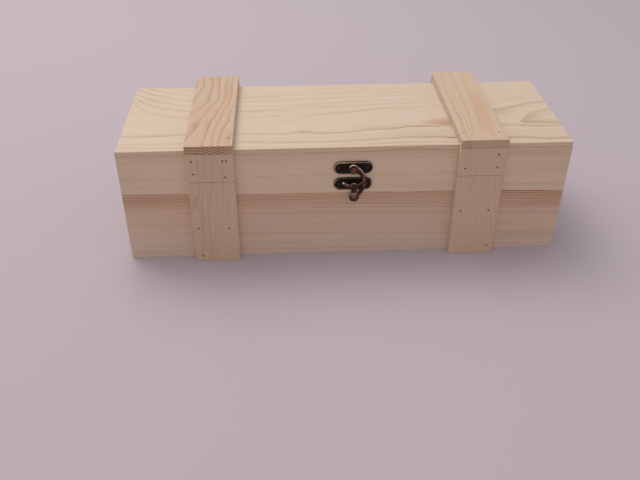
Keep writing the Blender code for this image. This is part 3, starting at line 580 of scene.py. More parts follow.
def planedPine(name, figure):
    material, shader, add = newMaterial(name)
    look = pineLook
    axis = "xyz".index(figure["along"])
    growth = add("Attribute", attribute_name="growth").outputs["Vector"]
    ring, dark, blushAndShade = add("SeparateXYZ", growth).outputs
    worn = add("Attribute", attribute_name="worn").outputs["Fac"]
    place = add("TexCoord").outputs

    def grain(length, width, detail=2.0):
        # noise drawn out along the board
        size = [1 / (width * mm)] * 3
        size[axis] = 1 / (length * mm)
        return add("TexNoise", add("Mapping", named={"Vector": place["Object"], "Scale": size}), 1.0, detail)

    def facing(letter):
        # 1 where the surface looks along this axis
        toward = [float(letter == other) for other in "xyz"]
        dot = add("VectorMath", place["Normal"], toward, operation="DOT_PRODUCT")
        return add("MapRange", add("Math", dot, operation="ABSOLUTE"), *look["square"])

    # Ring lines: late wood darkens slowly and stops short, with fainter rings between
    *size, stray = look["ragged"]
    ragged = add("Math", grain(*size, 3.0), 0.5, operation="SUBTRACT")
    ring = add("Math", ragged, stray, ring, operation="MULTIPLY_ADD")
    late = add("Math", add("Math", ring, look["late"]), operation="FRACT")
    line = add("Math", add("ValToRGB", late, stops=look["ring"]), dark, operation="MULTIPLY")
    *size, weak, strong = look["patchy"]
    patchy = add("MapRange", grain(*size), *look["usual"], weak, strong)
    line = add("Math", line, patchy, operation="MULTIPLY")
    count, faint = figure["fine"]
    number = add("Math", ring, count, look["shift"], operation="MULTIPLY_ADD")
    each = add("TexWhiteNoise", add("Math", number, operation="FLOOR"), noise_dimensions="1D")
    each = add("Math", each, *look["uneven"], operation="MULTIPLY_ADD")
    fine = add("ValToRGB", add("Math", number, operation="FRACT"), stops=look["ring"])
    fine = add("Math", add("Math", fine, each, operation="MULTIPLY"), faint, operation="MULTIPLY")
    line = add("Math", line, fine, operation="MAXIMUM")

    # Ground colour by ring; over it warm long stretches and sawn ends, the sawn sides, paler on the
    # battens as painted side light, the blush with painted shade at the front's ends, and the lines,
    # which are darker on the ends, where they are cut across
    tones = figure["tones"]
    low, high = min(tones) - 1, max(tones) + 1
    stops = [((r - low) / (high - low), code) for r, code in tones.items()]
    colour = add("ValToRGB", add("MapRange", ring, low, high), stops=stops)
    endGrain = facing(figure["along"])
    *size, most, warmTone = look["warm"]
    warm = add("MapRange", grain(*size), *look["soft"], 0.0, most)
    sawn = add("Math", endGrain, look["sawn"], operation="MULTIPLY")
    warm = add("Math", warm, sawn, operation="MAXIMUM")
    # the battens' paler side tone is painted side light; the other boards' is the sawn sides' own tone
    most, sideToneAndLight = figure.get("sides", look["sides"])
    sides = add("Math", facing(figure["across"]), most, operation="MULTIPLY")
    blushAndShade = add("Math", blushAndShade, look["blushAndShade"], operation="MULTIPLY")
    boost = add("Math", endGrain, look["endBoost"], figure["strength"], operation="MULTIPLY_ADD")
    drawn = add("Math", line, boost, operation="MULTIPLY", use_clamp=True)
    endWood = figure.get("endWood", look["endWood"])
    lateWood = add("Mix", endGrain, figure["lateWood"], endWood, data_type="RGBA")
    layers = [(warm, warmTone), (sides, sideToneAndLight), (blushAndShade, figure["blushAndShade"]), (drawn, lateWood)]
    for amount, tone in layers:
        colour = add("Mix", amount, colour, tone, data_type="RGBA")

    # Shades: fibres, resin ducts, pores in the ends and rubbed edges
    *size, low, high = look["fibre"]
    fibre = grain(*size, 3.0)
    shade = add("MapRange", fibre, *look["usual"], low, high)
    *size, deep = look["duct"]
    duct = add("MapRange", grain(*size, 0.0), *look["rare"], 0.0, deep)
    shade = add("Math", shade, duct, operation="SUBTRACT")
    size, low, high = look["pores"]
    pores = add("TexNoise", place["Object"], 1 / (size * mm), 2.0)
    shade = add("Mix", endGrain, shade, add("MapRange", pores, *look["usual"], low, high))
    edge = add("Math", worn, look["edge"], 1.0, operation="MULTIPLY_ADD")
    shade = add("Math", shade, edge, operation="MULTIPLY")
    colour = add("VectorMath", colour, shade, operation="MULTIPLY")

    least, most, end = look["roughness"]
    gloss = add("MapRange", fibre, *look["usual"], least, most)
    shine = add("Math", line, look["shine"], operation="MULTIPLY")
    gloss = add("Mix", endGrain, add("Math", gloss, shine, operation="SUBTRACT"), end)

    # Relief: fibres, proud late wood, faint planer marks across the board
    pitch, proud = look["planer"]
    along = add("SeparateXYZ", place["Object"]).outputs[axis]
    turns = add("Math", along, 2 * math.pi / (pitch * mm), operation="MULTIPLY")
    marks = add("Math", turns, operation="SINE")
    fibres, lines, strength, deep = look["relief"]
    relief = 0.0
    for pattern, share in ((line, lines), (fibre, fibres), (marks, proud)):
        relief = add("Math", pattern, share, relief, operation="MULTIPLY_ADD")
    bump = add("Bump", named={"Height": relief, "Strength": strength, "Distance": deep * mm})
    feed(shader, named={"Base Color": colour, "Roughness": gloss, "IOR": look["ior"], "Normal": bump})
    return material


def latticeBox(steps):
    # the closed surface of a box, cut along three lists of positions
    found, corners, faces = {}, [], []

    def corner(key):
        if key not in found:
            found[key] = len(corners)
            corners.append([steps[i][key[i]] for i in range(3)])
        return found[key]

    for a, b, c in ((0, 1, 2), (1, 2, 0), (2, 0, 1)):
        for end in (0, len(steps[c]) - 1):
            for i in range(len(steps[a]) - 1):
                for j in range(len(steps[b]) - 1):
                    ring = [(i, j), (i + 1, j), (i + 1, j + 1), (i, j + 1)]
                    face = []
                    for p, q in ring if end else ring[::-1]:
                        key = [0, 0, 0]
                        key[a], key[b], key[c] = p, q, end
                        face.append(corner(tuple(key)))
                    faces.append(face)
    return np.array(corners), faces


def boardMesh(name, low, high, grain, ease, rag):
    ease = ease * mm
    row, start = (ease * share for share in boards["rounding"])
    steps = []
    for axis, (a, b) in enumerate(zip(low, high)):
        cell = boards["cell"][0 if axis == grain else 1]
        count = max(2, round((b - a - 2 * ease) / (cell * mm)))
        inner = list(np.linspace(a + ease, b - ease, count + 1))
        steps.append([a, a + row, *inner, b - row, b])
    co, faces = latticeBox(steps)
    low, high = np.array(low), np.array(high)
    core = np.clip(co, low + ease, high - ease)
    out = co - core
    reach = np.linalg.norm(out, axis=1)
    co = core + out / np.maximum(reach, 1e-9)[:, None] * np.minimum(reach, ease)[:, None]
    outer = np.abs(out) > start
    edge = outer.sum(1) >= 2
    middle = (low + high) / 2
    for i in np.flatnonzero(edge):
        push = rag * mm * (0.5 + noise.noise(co[i] * boards["chips"]))
        co[i] -= np.sign(co[i] - middle) * outer[i] * max(push, 0)
    mesh = bpy.data.meshes.new(name)
    mesh.from_pydata(co.tolist(), [], faces)
    return mesh, edge


def grownBox(node, others, close):
    # reaches part of the way to whatever the board is glued or shut against
    low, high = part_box(node)
    newLow, newHigh = low.copy(), high.copy()
    gap = boards["gap"] * mm
    for other in others:
        if other == node:
            continue
        a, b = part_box(other)
        for axis in range(3):
            if any(min(high[i], b[i]) - max(low[i], a[i]) < 2 * gap for i in range(3) if i != axis):
                continue
            if 0 < a[axis] - high[axis] < gap:
                newHigh[axis] = high[axis] + close * (a[axis] - high[axis])
            if 0 < low[axis] - b[axis] < gap:
                newLow[axis] = low[axis] - close * (low[axis] - b[axis])
    return newLow, newHigh


def newPiece(name, mesh, node):
    piece = bpy.data.objects.new(name, mesh)
    scene.collection.objects.link(piece)
    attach(piece, bodyOf[node])
    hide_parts(node)
    return piece


def coat(piece, material):
    piece.data.materials.clear()
    piece.data.materials.append(material)


def keepEvaluated(piece):
    bpy.context.view_layer.update()
    graph = bpy.context.evaluated_depsgraph_get()
    mesh = bpy.data.meshes.new_from_object(piece.evaluated_get(graph))
    piece.modifiers.clear()
    piece.data = mesh


def coordinates(mesh):
    co = np.zeros(len(mesh.vertices) * 3)
    mesh.vertices.foreach_get("co", co)
    return co.reshape(-1, 3)


# mm, but for the flare and the sides
holes = {"radius": 0.72, "flare": 1.12, "depth": 1.28, "above": 0.64, "sides": 14}


def boreHoles(piece, low, high):
    # a brad's head sits a little way down each hole
    radius, depth, above = (holes[key] * mm for key in ("radius", "depth", "above"))
    bm = bmesh.new()
    for node in frame["nodes"]:
        a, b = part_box(node)
        if "brad" not in node or any(a[i] >= high[i] or b[i] <= low[i] for i in range(3)):
            continue
        x, y, z = (a + b) / 2
        if (b - a).z > (b - a).y:
            place = Matrix.Translation((x, y, b.z - (depth - above) / 2))
        else:
            turn = Matrix.Rotation(math.pi / 2, 4, "X")
            place = Matrix.Translation((x, a.y + (depth - above) / 2, z)) @ turn
        bmesh.ops.create_cone(
            bm, cap_ends=True, segments=holes["sides"], radius1=radius, radius2=radius * holes["flare"],
            depth=depth + above, matrix=place,
        )
    if not bm.verts:
        bm.free()
        return
    tool = bpy.data.objects.new("holeTool", toMesh(bm, "holeTool"))
    scene.collection.objects.link(tool)
    cut = piece.modifiers.new("holes", "BOOLEAN")
    cut.object = tool
    cut.operation = "DIFFERENCE"
    cut.solver = "EXACT"
    keepEvaluated(piece)
    bpy.data.objects.remove(tool)


def addBoards():
    plain = {
        "ends": plainFigure("y", "z", 46, 1.0),
        "back": plainFigure("x", "z", 50, 2.2),
        "bottom": plainFigure("x", "y", 60, 3.1),
        "left": plainFigure("z", "x", -104, 4.5, "#cbb099"),
        "right": plainFigure("z", "x", 106, 0.4, "#ccb29b"),
    }
    # node: (figure, its name)
    layout = {
        "top_panel": (topFigure, "pine top"),
        "lid_front_rail": (frontFigure, "pine front"),
        "front_wall": (frontFigure, "pine front"),
        "lid_back_rail": (plain["back"], "pine back"),
        "back_wall": (plain["back"], "pine back"),
        "bottom_panel": (plain["bottom"], "pine bottom"),
    }
    for node in ("left_end", "right_end", "lid_left_rail", "lid_right_rail"):
        layout[node] = (plain["ends"], "pine ends")
    for lid in ("", "lid_"):
        layout[lid + "front_batten_left"] = (leftFrontFigure, "pine left batten")
        layout[lid + "front_batten_right"] = (rightFrontFigure, "pine right batten")
        for side in ("left", "right"):
            layout[f"{lid}back_batten_{side}"] = (plain[side], f"pine back batten {side}")
    layout["top_batten_left"] = (leftTopFigure, "pine left top batten")
    layout["top_batten_right"] = (rightTopFigure, "pine right top batten")

    made = {}
    usual = [boards[key] for key in ("eased", "ragged", "close")]
    for node, (figure, name) in layout.items():
        ease, rag, close = boards["matched"] if figure is frontFigure else usual
        low, high = grownBox(node, layout, close)
        mesh, edge = boardMesh(node + "_pine", low, high, "xyz".index(figure["along"]), ease, rag)
        worn = mesh.attributes.new("worn", "FLOAT", "POINT")
        worn.data.foreach_set("value", edge.astype(float))
        if name not in made:
            made[name] = planedPine(name, figure)
        piece = newPiece(node + "_pine", mesh, node)
        boreHoles(piece, low, high)
        setFigure(piece.data, figure, node)
        coat(piece, made[name])
    print("boards drawn:", len(layout))


addBoards()


# Antiqued bronze for the latch and the hinges, and dark wire brads

bronzeLook = {
    # cast and pressed metal, plated, blackened and rubbed back: near black in the hollows,
    # brown-gold where fingers and cloth have worn it, and pale at the painted highlights
    "pressed": ("#2e2a29", "#7a5a45", "#c9ad92"),
    "handled": ("#47362f", "#876752", "#ead9cb"),
    "roughness": (0.62, 0.34),  # dark and bright metal
    "mottle": (2.4, 0.7),  # mm, and how much it adds to the rub
    "pits": (0.35, 0.06),  # mm across and deep
    "relief": (0.5, 0.4),  # how much of it the pits make, and its strength
    "shown": (0.5, 1.25),  # rub and painted highlight at which the metal starts to show, and at which it is bright
}
steelLook = {
    # wire brads, dull and dark from the drawing oil and the air
    "tones": [(0.3, "#2c2320"), (0.7, "#5a4a42")],
    "stain": 0.8,  # mm
    "metallic": 0.8,
    "roughness": 0.55,
}


def antiquedBronze(name, tones):
    material, shader, add = newMaterial(name)
    look = bronzeLook
    place = add("TexCoord").outputs["Object"]
    rubAndHighlight = add("Attribute", attribute_name="rubAndHighlight").outputs["Fac"]
    size, amount = look["mottle"]
    across, deep = look["pits"]
    mottle = add("TexNoise", place, 1 / (size * mm), 5.0, 0.65)
    pits = add("TexNoise", place, 1 / (across * mm), 3.0)
    wear = add("Math", mottle, amount, rubAndHighlight, operation="MULTIPLY_ADD")
    wear = add("MapRange", wear, *look["shown"])
    colour = add("ValToRGB", wear, stops=list(zip((0.0, 0.5, 1.0), tones)))
    gloss = add("MapRange", wear, 0.0, 1.0, *look["roughness"])
    share, strength = look["relief"]
    relief = add("Math", pits, share, mottle, operation="MULTIPLY_ADD")
    bump = add("Bump", named={"Height": relief, "Strength": strength, "Distance": deep * mm})
    feed(shader, named={"Base Color": colour, "Metallic": 1.0, "Roughness": gloss, "Normal": bump})
    return material


def drawnSteel():
    material, shader, add = newMaterial("drawn steel wire")
    look = steelLook
    stain = add("TexNoise", add("TexCoord").outputs["Object"], 1 / (look["stain"] * mm), 3.0)
    colour = add("ValToRGB", stain, stops=look["tones"])
    values = {"Base Color": colour, "Metallic": look["metallic"], "Roughness": look["roughness"]}
    feed(shader, named=values)
    return material


darkBronze = antiquedBronze("antiqued bronze", bronzeLook["pressed"])
wornBronze = antiquedBronze("antiqued bronze, handled", bronzeLook["handled"])
steelWire = drawnSteel()
for node, solid in frame["nodes"].items():
    if "brad" in node:
        solid.data.materials.clear()
        solid.data.materials.append(steelWire)
print("bronze and steel made")


def loft(rings, bm=None):
    # a closed skin over rings of as many points each, in a mesh of its own or added to one
    bm = bm or bmesh.new()
    rows = [[bm.verts.new(p) for p in ring] for ring in rings]
    for one, two in zip(rows, rows[1:]):
        for i in range(len(one)):
            bm.faces.new((one[i - 1], one[i], two[i], two[i - 1]))
    bm.faces.new(rows[0])
    bm.faces.new(rows[-1][::-1])
    bmesh.ops.recalc_face_normals(bm, faces=bm.faces)
    return bm


def arc(start, end, steps):
    # places on a circle of radius 1, at even steps between two angles in degrees
    angles = np.radians(np.linspace(start, end, steps + 1)).tolist()
    return [(math.cos(angle), math.sin(angle)) for angle in angles]


def turned(middle, axis, rows, sides):
    # rings of points round the x or y axis through middle; rows: (place on that axis, radius)
    rings = []
    for place, radius in rows:
        circle = [(radius * c, radius * s) for c, s in arc(0, 360, sides)[:-1]]
        if axis == "x":
            rings.append([(place, middle.y + u, middle.z + v) for u, v in circle])
        else:
            rings.append([(middle.x + u, place, middle.z + v) for u, v in circle])
    return rings


def castPiece(name, bm, node, voxel):
    # parts melted into one, with soft edges
    piece = newPiece(name, toMesh(bm, name), node)
    melt = piece.modifiers.new("melt", "REMESH")
    melt.mode = "VOXEL"
    melt.voxel_size = voxel * mm
    soft = piece.modifiers.new("soften", "SMOOTH")
    soft.factor = 0.5
    soft.iterations = 4
    keepEvaluated(piece)
    piece.data.shade_smooth()
    return piece


def setRubAndHighlight(mesh, values):
    rubAndHighlight = mesh.attributes.new("rubAndHighlight", "FLOAT", "POINT")
    rubAndHighlight.data.foreach_set("value", np.clip(values, 0, 1))


def rubAndHighlightSpots(co, middle, spots):
    # spots of rub and painted highlight: (right, up from the middle, reach in mm, amount)
    rubAndHighlight = np.zeros(len(co))
    for right, up, reach, amount in spots:
        away = np.hypot(co[:, 0] - middle.x - right * mm, co[:, 2] - middle.z - up * mm)
        rubAndHighlight += amount * np.exp(-((away / (reach * mm)) ** 2))
    return rubAndHighlight


heads = {
    # rows, from the crown out: (share of the radius, depth below the crown as a share of the rise)
    # rubAndHighlight: of the crown, and how much less it is one rise below
    "nail": {
        "rows": [(0.35, 0.03), (0.62, 0.18), (0.84, 0.5), (0.97, 0.82), (1.0, 1.1), (0.9, 1.3), (0.45, 1.3),
                 (0.45, 3.2)],
        "rise": 0.55,  # mm
        "sides": 28,
        "sharp": 50,  # degrees
        "rubAndHighlight": (0.3, 0.4),
    },
    "rivet": {  # dished in the middle by the punch
        "rows": [(0.08, 0.42), (0.3, 0.36), (0.5, 0.12), (0.66, 0.0), (0.82, 0.12), (0.96, 0.42), (1.0, 0.75),
                 (0.98, 1.0), (0.5, 1.0), (0.5, 4.6)],
        "rise": 1.0,
        "sides": 36,
        "sharp": 60,
        "rubAndHighlight": (0.42, 0.35),
    },
}


def addHead(node, kind, way, material):
    # way is -1 for a head at the front and 1 for one at the back
    shape = heads[kind]
    low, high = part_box(node)
    radius = (high.x - low.x) / 2
    crown = low.y if way < 0 else high.y
    rise = shape["rise"] * mm
    rows = [(crown - way * rise * depth, share * radius) for share, depth in shape["rows"]]
    rings = turned((low + high) / 2, "y", rows, shape["sides"])
    mesh = toMesh(loft(rings), node + "_head", shape["sharp"])
    bright, less = shape["rubAndHighlight"]
    setRubAndHighlight(mesh, bright - np.abs(coordinates(mesh)[:, 1] - crown) / rise * less)
    piece = newPiece(node + "_head", mesh, node)
    coat(piece, material)


latch = {
    # the rolled rim: mm in from the outline, mm back from the front
    "rim": [(0, 0.5), (0.15, 0.15), (0.5, 0), (0.715, 0), (1.105, 0.1875), (1.495, 0.6375), (1.95, 0.75)],
    "rings": (0.8, 0.9),  # mm between rings inside the rim, and the most left to the middle
    "rubAndHighlight": (0.12, 0.25, 420),  # of the rim, how uneven, and waves to the metre
    # painted highlights where the light catches each rim, mostly above: right, up, reach in mm, amount
    "rubbedAndHighlit": {
        "latch_plate": [(-11, 4, 5.5, 1.0), (-3.5, 4.5, 4, 0.85), (12, 4, 3.5, 0.5), (-15, -1, 3, 0.2)],
        "catch_plate": [(-13, 2.5, 3.2, 0.75), (14, 1, 4.5, 0.6), (-14, -3, 3, 0.25)],
    },
    "hollow": (0.4, 0.05),  # share of the rise below which nothing rubs, and the rub there
}


def stadiumRing(length, height, inset, place, y, sides=20):
    # a stadium outline, drawn in by inset, at one distance out from the wall
    radius = height / 2 - inset
    reach = (length - height) / 2
    half = [(reach + radius * c, radius * s) for c, s in arc(-90, 90, sides)]
    return [(place.x + way * u, y, place.z + way * v) for way in (1, -1) for u, v in half]


def addPlate(node, name):
    low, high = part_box(node)
    if node == "catch_plate":  # its lug reaches lower and further out
        low, high = low.copy(), high.copy()
        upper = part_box("latch_plate")
        low.z = high.z - (upper[1].z - upper[0].z)
        low.y = upper[0].y
    middle = (low + high) / 2
    length, height = high.x - low.x, high.z - low.z
    back, front = high.y, low.y
    profile = [(0, back), *((inset * mm, front + deep * mm) for inset, deep in latch["rim"])]
    step, left = (size * mm for size in latch["rings"])
    field = profile[-1][1]
    while profile[-1][0] < height / 2 - left:
        profile.append((profile[-1][0] + step, field))
    rings = [stadiumRing(length, height, inset, middle, y) for inset, y in profile]
    mesh = toMesh(loft(rings), name, 40)
    co = coordinates(mesh)
    out = np.clip((field - co[:, 1]) / (field - front), 0, 1)
    least, uneven, waves = latch["rubAndHighlight"]
    rubbedAndHighlit = least + uneven * np.array([noise.noise(p * waves) for p in co])
    # the listed spots are painted highlights over the rim's own wear
    rubbedAndHighlit += rubAndHighlightSpots(co, middle, latch["rubbedAndHighlit"][node])
    start, hollow = latch["hollow"]
    setRubAndHighlight(mesh, np.where(out > start, out * rubbedAndHighlit, hollow))
    coat(newPiece(name, mesh, node), darkBronze)
    return field


armShape = {
    # middle line from the pivot to the finger end, mm: (right, up, width)
    "line": [
        (0.0, 0.0, 8.0), (2.6, -0.6, 6.0), (4.9, -2.2, 4.7), (6.9, -4.6, 3.8), (8.2, -7.3, 3.2),
        (8.8, -10.4, 3.0), (8.7, -13.4, 3.1), (8.0, -16.3, 3.1), (6.7, -18.8, 3.0), (5.1, -21.2, 2.9),
        (3.3, -23.3, 2.9), (1.8, -24.8, 2.8),
    ],
    "eye": (4.2, 3.1),  # outer and inner radius of the raised ring
    "hookUp": -5.55,  # mm from the pivot to the middle of the hook's arc
    "hookRadius": 9.9,
    "hook": (-31, -144.5, 2.9),  # degrees from and to, width
    "taper": 0.28,  # how much the hook narrows over its last fifth
    "square": 0.75,  # below 1 the bars' section is squarer than round
    "web": 1.1,  # thin web inside the ring, of its inner radius
    "thick": 1.8,
    "shares": (0.95, 0.82, 1.05),  # of that for the line, the hook and the eye
    "finger": (1.1, -25.15, 3.9, 3.1),  # right, up, radius, thickness
    "voxel": 0.16,  # mm, of the cast shape
    "lit": (-0.05, -0.35, 0.93),  # edges that face this way, up towards the light, get a painted highlight
    "rubAndHighlight": (0.04, 0.72, 0.08),  # everywhere, as painted highlight on those edges, and on the front
    # painted highlights on the eye's top, the arm's outer edge, the hook and the finger's top, with
    # the finger's own tone: right, up, reach in mm, amount
    "rubbedAndHighlit": [
        (-8.2, -11.5, 1.6, 0.8), (-5, -14, 2.6, 0.25), (1.1, -25.1, 4.2, 0.14), (3.5, -4.2, 2.2, -0.3),
        (9, -9.0, 2.0, 0.3), (9, -14, 1.5, 0.2), (-3.2, 2.2, 1.0, 0.5), (-1.8, 3.4, 1.1, 0.5),
        (0.2, 3.9, 1.0, 0.4), (2.2, 3.1, 0.9, 0.35), (3.6, 2.2, 1.1, 0.3), (4.7, 1.0, 1.1, 0.3),
        (5.7, -0.1, 1.1, 0.33), (6.7, -1.2, 1.1, 0.35), (7.6, -2.4, 1.1, 0.36), (8.4, -3.8, 1.1, 0.34),
        (9.0, -5.2, 1.1, 0.3), (0.6, -23.9, 1.0, 0.3),
    ],
}


def smoothLine(points, steps):
    # a curve through all points, with steps places from each to the next
    rows = [Vector(p) for p in points]
    rows = [2 * rows[0] - rows[1], *rows, 2 * rows[-1] - rows[-2]]
    found = []
    for a, b, c, d in zip(rows, rows[1:], rows[2:], rows[3:]):
        for i in range(steps):
            t = i / steps
            bend = (2 * a - 5 * b + 4 * c - d) * t**2 / 2 + (3 * b - a - 3 * c + d) * t**3 / 2
            found.append(b + (c - a) * t / 2 + bend)
    return [*found, rows[-2]]


def addBar(bm, points, y, thick, sides=16):
    # a rounded bar that lies flat to the wall; points: (right, up from the pivot, width) in mm
    places = [(pivot.x + x * mm, pivot.z + z * mm, width / 2 * mm) for x, z, width in points]
    rings = []
    for i, (x, z, wide) in enumerate(places):
        a, b = places[max(i - 1, 0)], places[min(i + 1, len(places) - 1)]
        heading = Vector((b[0] - a[0], 0, b[1] - a[1])).normalized()
        side = Vector((-heading.z, 0, heading.x))
        ring = []
        for c, s in arc(0, 360, sides)[:-1]:
            c, s = (math.copysign(abs(v) ** armShape["square"], v) for v in (c, s))
            ring.append(Vector((x, y, z)) + side * wide * c + Vector((0, 1, 0)) * thick * s)
        rings.append(ring)
    loft(rings, bm)


def addArm():
    shape = armShape
    low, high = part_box("latch_arm")
    y = (low.y + high.y) / 2
    half = shape["thick"] / 2 * mm
    lineShare, hookShare, eyeShare = shape["shares"]

    start, end, width = shape["hook"]
    radius = shape["hookRadius"]
    hook = []
    for i, (c, s) in enumerate(arc(start, end, 24)):
        wide = width * (1 - shape["taper"] * max(0, i - 19) / 5)
        hook.append((radius * c, shape["hookUp"] + radius * s, wide))
    outer, inner = shape["eye"]
    radius = (outer + inner) / 2
    eye = [(radius * c, radius * s, outer - inner) for c, s in arc(0, 360, 48)]

    bm = bmesh.new()
    addBar(bm, smoothLine(shape["line"], 5), y, half * lineShare)
    addBar(bm, hook, y, half * hookShare)
    addBar(bm, eye, y, half * eyeShare)
    disc = inner * shape["web"] * mm
    place = Matrix.Translation((pivot.x, y, pivot.z)) @ Matrix.Rotation(math.pi / 2, 4, "X")
    bmesh.ops.create_cone(
        bm, cap_ends=True, segments=40, radius1=disc, radius2=disc, depth=half, matrix=place
    )
    right, up, radius, thick = shape["finger"]
    place = Matrix.Translation((pivot.x + right * mm, y, pivot.z + up * mm))
    place @= Matrix.Diagonal((radius * mm, thick / 2 * mm, radius * mm, 1))
    bmesh.ops.create_uvsphere(bm, u_segments=32, v_segments=20, radius=1, matrix=place)

    arm = castPiece("latch_arm_cast", bm, "latch_arm", shape["voxel"])
    normals = np.array([v.normal for v in arm.data.vertices])
    # a painted highlight on the edges that face the light, with the listed spots below
    lit = np.clip(normals @ np.array(shape["lit"]), 0, 1)
    least, edges, front = shape["rubAndHighlight"]
    rubAndHighlight = least + edges * lit**3 + front * np.clip(-normals[:, 1], 0, 1)
    setRubAndHighlight(arm.data, rubAndHighlight + rubAndHighlightSpots(coordinates(arm.data), pivot, shape["rubbedAndHighlit"]))
    coat(arm, wornBronze)


lugShape = {
    # mm, from the pivot and from the lug's crown
    "right": 0.5,
    "crown": -10.9,
    "radius": 3.35,
    "thick": 1.2,
    "waist": (2.95, -5.4),  # half width, and how far below the crown
    "foot": 2.1,  # half width
    "centre": -3.9,  # from the crown to where the rings shrink towards
    # rings from the back to the dished front: (size, share of the thickness)
    "rings": [(0.94, 1), (1.0, 0.8), (1.0, 0.25), (0.95, 0), (0.78, 0), (0.68, 0.25), (0.4, 0.3)],
    "neck": (2.8, 0.9),  # width and height
    "neckPlace": (0.2, -12.1),
    "neckReach": (0.7, 0.2),  # from this share of the thickness to so many mm inside the plate
    "voxel": 0.14,
    "rim": (0.2, 1.5),  # mm: how deep it goes, and how far above the foot it starts
    "rubAndHighlight": (0.06, 0.8, 0.45, 0.04),  # least on the rim, how it grows and from where, and elsewhere
}


def addLug(field):
    # bent out of the lower plate: a short neck, then an arched tongue that hangs in front of the hook
    shape = lugShape
    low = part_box("catch_plate")[0]
    front, foot = low.y, low.z
    thick, radius = shape["thick"] * mm, shape["radius"] * mm
    middle, crown = pivot.x + shape["right"] * mm, pivot.z + shape["crown"] * mm
    outline = [(middle + radius * c, crown - radius + radius * s) for c, s in arc(0, 180, 24)]
    waist, drop = shape["waist"]
    for half, z in ((-waist, crown + drop * mm), (-shape["foot"], foot)):
        outline.append((middle + half * mm, z))
    outline += [(2 * middle - x, z) for x, z in outline[:-3:-1]]
    centre = Vector((middle, crown + shape["centre"] * mm))
    rings = []
    for share, depth in shape["rings"]:
        flat = [centre + (Vector(p) - centre) * share for p in outline]
        rings.append([(p.x, front + thick * depth, p.y) for p in flat])

    bm = loft(rings)
    (width, height), (right, up), (start, sunk) = shape["neck"], shape["neckPlace"], shape["neckReach"]
    near, far = front + thick * start, field + sunk * mm
    place = Matrix.Translation((pivot.x + right * mm, (near + far) / 2, pivot.z + up * mm))
    place @= Matrix.Diagonal((width * mm, far - near, height * mm, 1))
    bmesh.ops.create_cube(bm, size=1, matrix=place)

    lug = castPiece("catch_lug", bm, "catch_plate", shape["voxel"])
    co = coordinates(lug.data)
    across = np.hypot(co[:, 0] - centre.x, co[:, 2] - centre.y)
    deep, above = (size * mm for size in shape["rim"])
    onRim = (co[:, 1] < front + deep) & (co[:, 2] > foot + above)
    least, rise, start, dark = shape["rubAndHighlight"]
    setRubAndHighlight(lug.data, np.where(onRim, least + rise * np.clip(across / radius - start, 0, 1), dark))
    coat(lug, wornBronze)


def addLatch():
    addPlate("latch_plate", "latch_plate_pressed")
    addLug(addPlate("catch_plate", "catch_plate_pressed"))
    for node in frame["nodes"]:
        if node.startswith(("latch_nail", "catch_nail")):
            addHead(node, "nail", -1, darkBronze)
    addArm()
    addHead("latch_rivet", "rivet", -1, wornBronze)
    print("latch drawn")


addLatch()


hinge = {
    # mm
    "corner": 1.6,  # rounding of the leaves' outer corners
    "eased": (0.25, 0.2),  # and of the others: at the outer edge and beside the knuckles
    "thick": 0.88,
    "clear": 2.3,  # from the pin's middle to where a leaf starts beside the other's knuckle
    "near": 0.25,  # and beside its own
    "third": 4.15,  # from the hinge's middle to where the knuckles meet
    "gap": 0.15,  # by which each knuckle stops short of that
    "roll": [(0, 0.8), (0, 1.5), (0.12, 1.78), (0.35, 1.85), (1.2, 1.85)],  # in from a knuckle's end, radius
    "seam": 0.82,  # of the radius, where the roll's own edge meets the leaf
    # the pin's rounded ends: (in from the end, share of the radius)
    "pinEnd": [(0, 0.3), (0.03, 0.62), (0.14, 0.88), (0.3, 1.0), (0.55, 1.0), (0.6, 0.9)],
    "voxel": 0.2,
    "rubAndHighlight": (0.05, 0.5, 0.35, 0.3),  # everywhere, at the edges, on the roll, and how uneven
    "wear": (0.5, 1.5),  # mm that it reaches in from the edges, and out to the roll's back
    "waves": 300,  # to the metre
    "pinRub": 0.5,
}


def roundedOutline(corners, steps=5):
    # corners: (x, z, radius)
    outline = []
    for i, (x, z, radius) in enumerate(corners):
        here = Vector((x, z))
        before = (Vector(corners[i - 1][:2]) - here).normalized()
        after = (Vector(corners[(i + 1) % len(corners)][:2]) - here).normalized()
        for k in range(steps + 1):
            t = k / steps
            outline.append(here + before * radius * (1 - t) ** 2 + after * radius * t**2)
    return outline


def addKnuckle(bm, middle, start, end, way, sides=28):
    # the leaf rolled round the pin
    rows = [(start + inward, radius) for inward, radius in hinge["roll"]]
    rows += [(end - inward, radius) for inward, radius in reversed(hinge["roll"])]
    rings = []
    for x, radius in rows:
        ring = []
        for i, (c, s) in enumerate(arc(0, 360, sides)[:-1]):
            atSeam = i == sides * 5 // 8 and radius > 1
            r = radius * mm * (hinge["seam"] if atSeam else 1)
            ring.append(middle + Vector((x * mm, r * c, r * s * way)))
        rings.append(ring)
    loft(rings, bm)


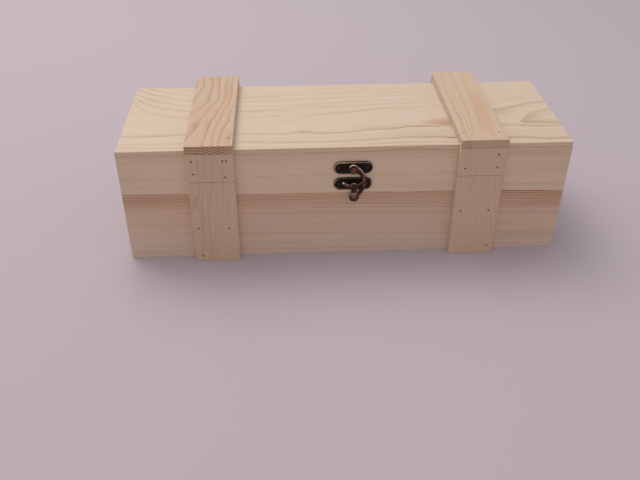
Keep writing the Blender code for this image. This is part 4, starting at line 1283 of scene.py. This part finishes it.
def addLeaf(node, middle, way):
    # way is 1 for the lid's leaf and -1 for the base's
    low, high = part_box(node)
    half, third = (high.x - low.x) / 2 / mm, hinge["third"]
    far = abs((high if way > 0 else low).z - middle.z) / mm
    inner, outer = (hinge["clear"], hinge["near"])[::way]
    corner, (end, side) = hinge["corner"], hinge["eased"]
    right = [(half, far, corner), (half, outer, end), (third, outer, side), (third, inner, side)]
    corners = [(-half, far, corner), *right, *((-x, z, r) for x, z, r in right[:0:-1])]
    outline = [Vector((middle.x + p.x * mm, middle.z + way * p.y * mm)) for p in roundedOutline(corners)]
    bm = bmesh.new()
    face = bm.faces.new([bm.verts.new((p.x, low.y, p.y)) for p in outline])
    grown = bmesh.ops.extrude_face_region(bm, geom=[face])["geom"]
    verts = [v for v in grown if isinstance(v, bmesh.types.BMVert)]
    bmesh.ops.translate(bm, verts=verts, vec=(0, hinge["thick"] * mm, 0))
    bmesh.ops.recalc_face_normals(bm, faces=bm.faces)
    inside, beside = third - hinge["gap"], third + hinge["gap"]
    spans = [(-inside, inside)] if way < 0 else [(-half, -beside), (beside, half)]
    for start, end in spans:
        addKnuckle(bm, middle, start, end, way)
    leaf = castPiece(node + "_rolled", bm, node, hinge["voxel"])
    co = coordinates(leaf.data)
    flat = co[:, [0, 2]]
    away = np.full(len(co), 1.0)
    for p, q in zip(outline, outline[1:] + outline[:1]):
        p, along = np.array(p), np.array(q - p)
        share = np.clip((flat - p) @ along / max(along @ along, 1e-12), 0, 1)
        away = np.minimum(away, np.linalg.norm(flat - p - share[:, None] * along, axis=1))
    wear = np.array([noise.noise(p * hinge["waves"]) for p in co])
    inward, outward = (size * mm for size in hinge["wear"])
    onRoll = np.clip((co[:, 1] - middle.y) / outward, 0, 1)
    least, edges, roll, uneven = hinge["rubAndHighlight"]
    setRubAndHighlight(leaf.data, least + edges * np.exp(-away / inward) + roll * onRoll + uneven * wear)
    coat(leaf, darkBronze)


def addPin(node):
    low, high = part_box(node)
    middle = (low + high) / 2
    half, radius = (high.x - low.x) / 2, (high.z - low.z) / 2
    rows = [(half - inward * mm, radius * share) for inward, share in hinge["pinEnd"]]
    rows += [(-x, r) for x, r in reversed(rows)]
    rings = turned(middle, "x", [(middle.x + x, r) for x, r in rows], 20)
    mesh = toMesh(loft(rings), node + "_round", 50)
    setRubAndHighlight(mesh, np.full(len(mesh.vertices), hinge["pinRub"]))
    coat(newPiece(node + "_round", mesh, node), wornBronze)


def addHinges():
    for side in ("left", "right"):
        low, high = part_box(f"hinge_{side}_pin")
        addLeaf(f"hinge_{side}_base_leaf", (low + high) / 2, -1)
        addLeaf(f"hinge_{side}_lid_leaf", (low + high) / 2, 1)
        addPin(f"hinge_{side}_pin")
        for body in ("base", "lid"):
            for number in (1, 2):
                addHead(f"hinge_{side}_{body}_nail_{number}", "nail", 1, darkBronze)
    print("hinges drawn")


addHinges()
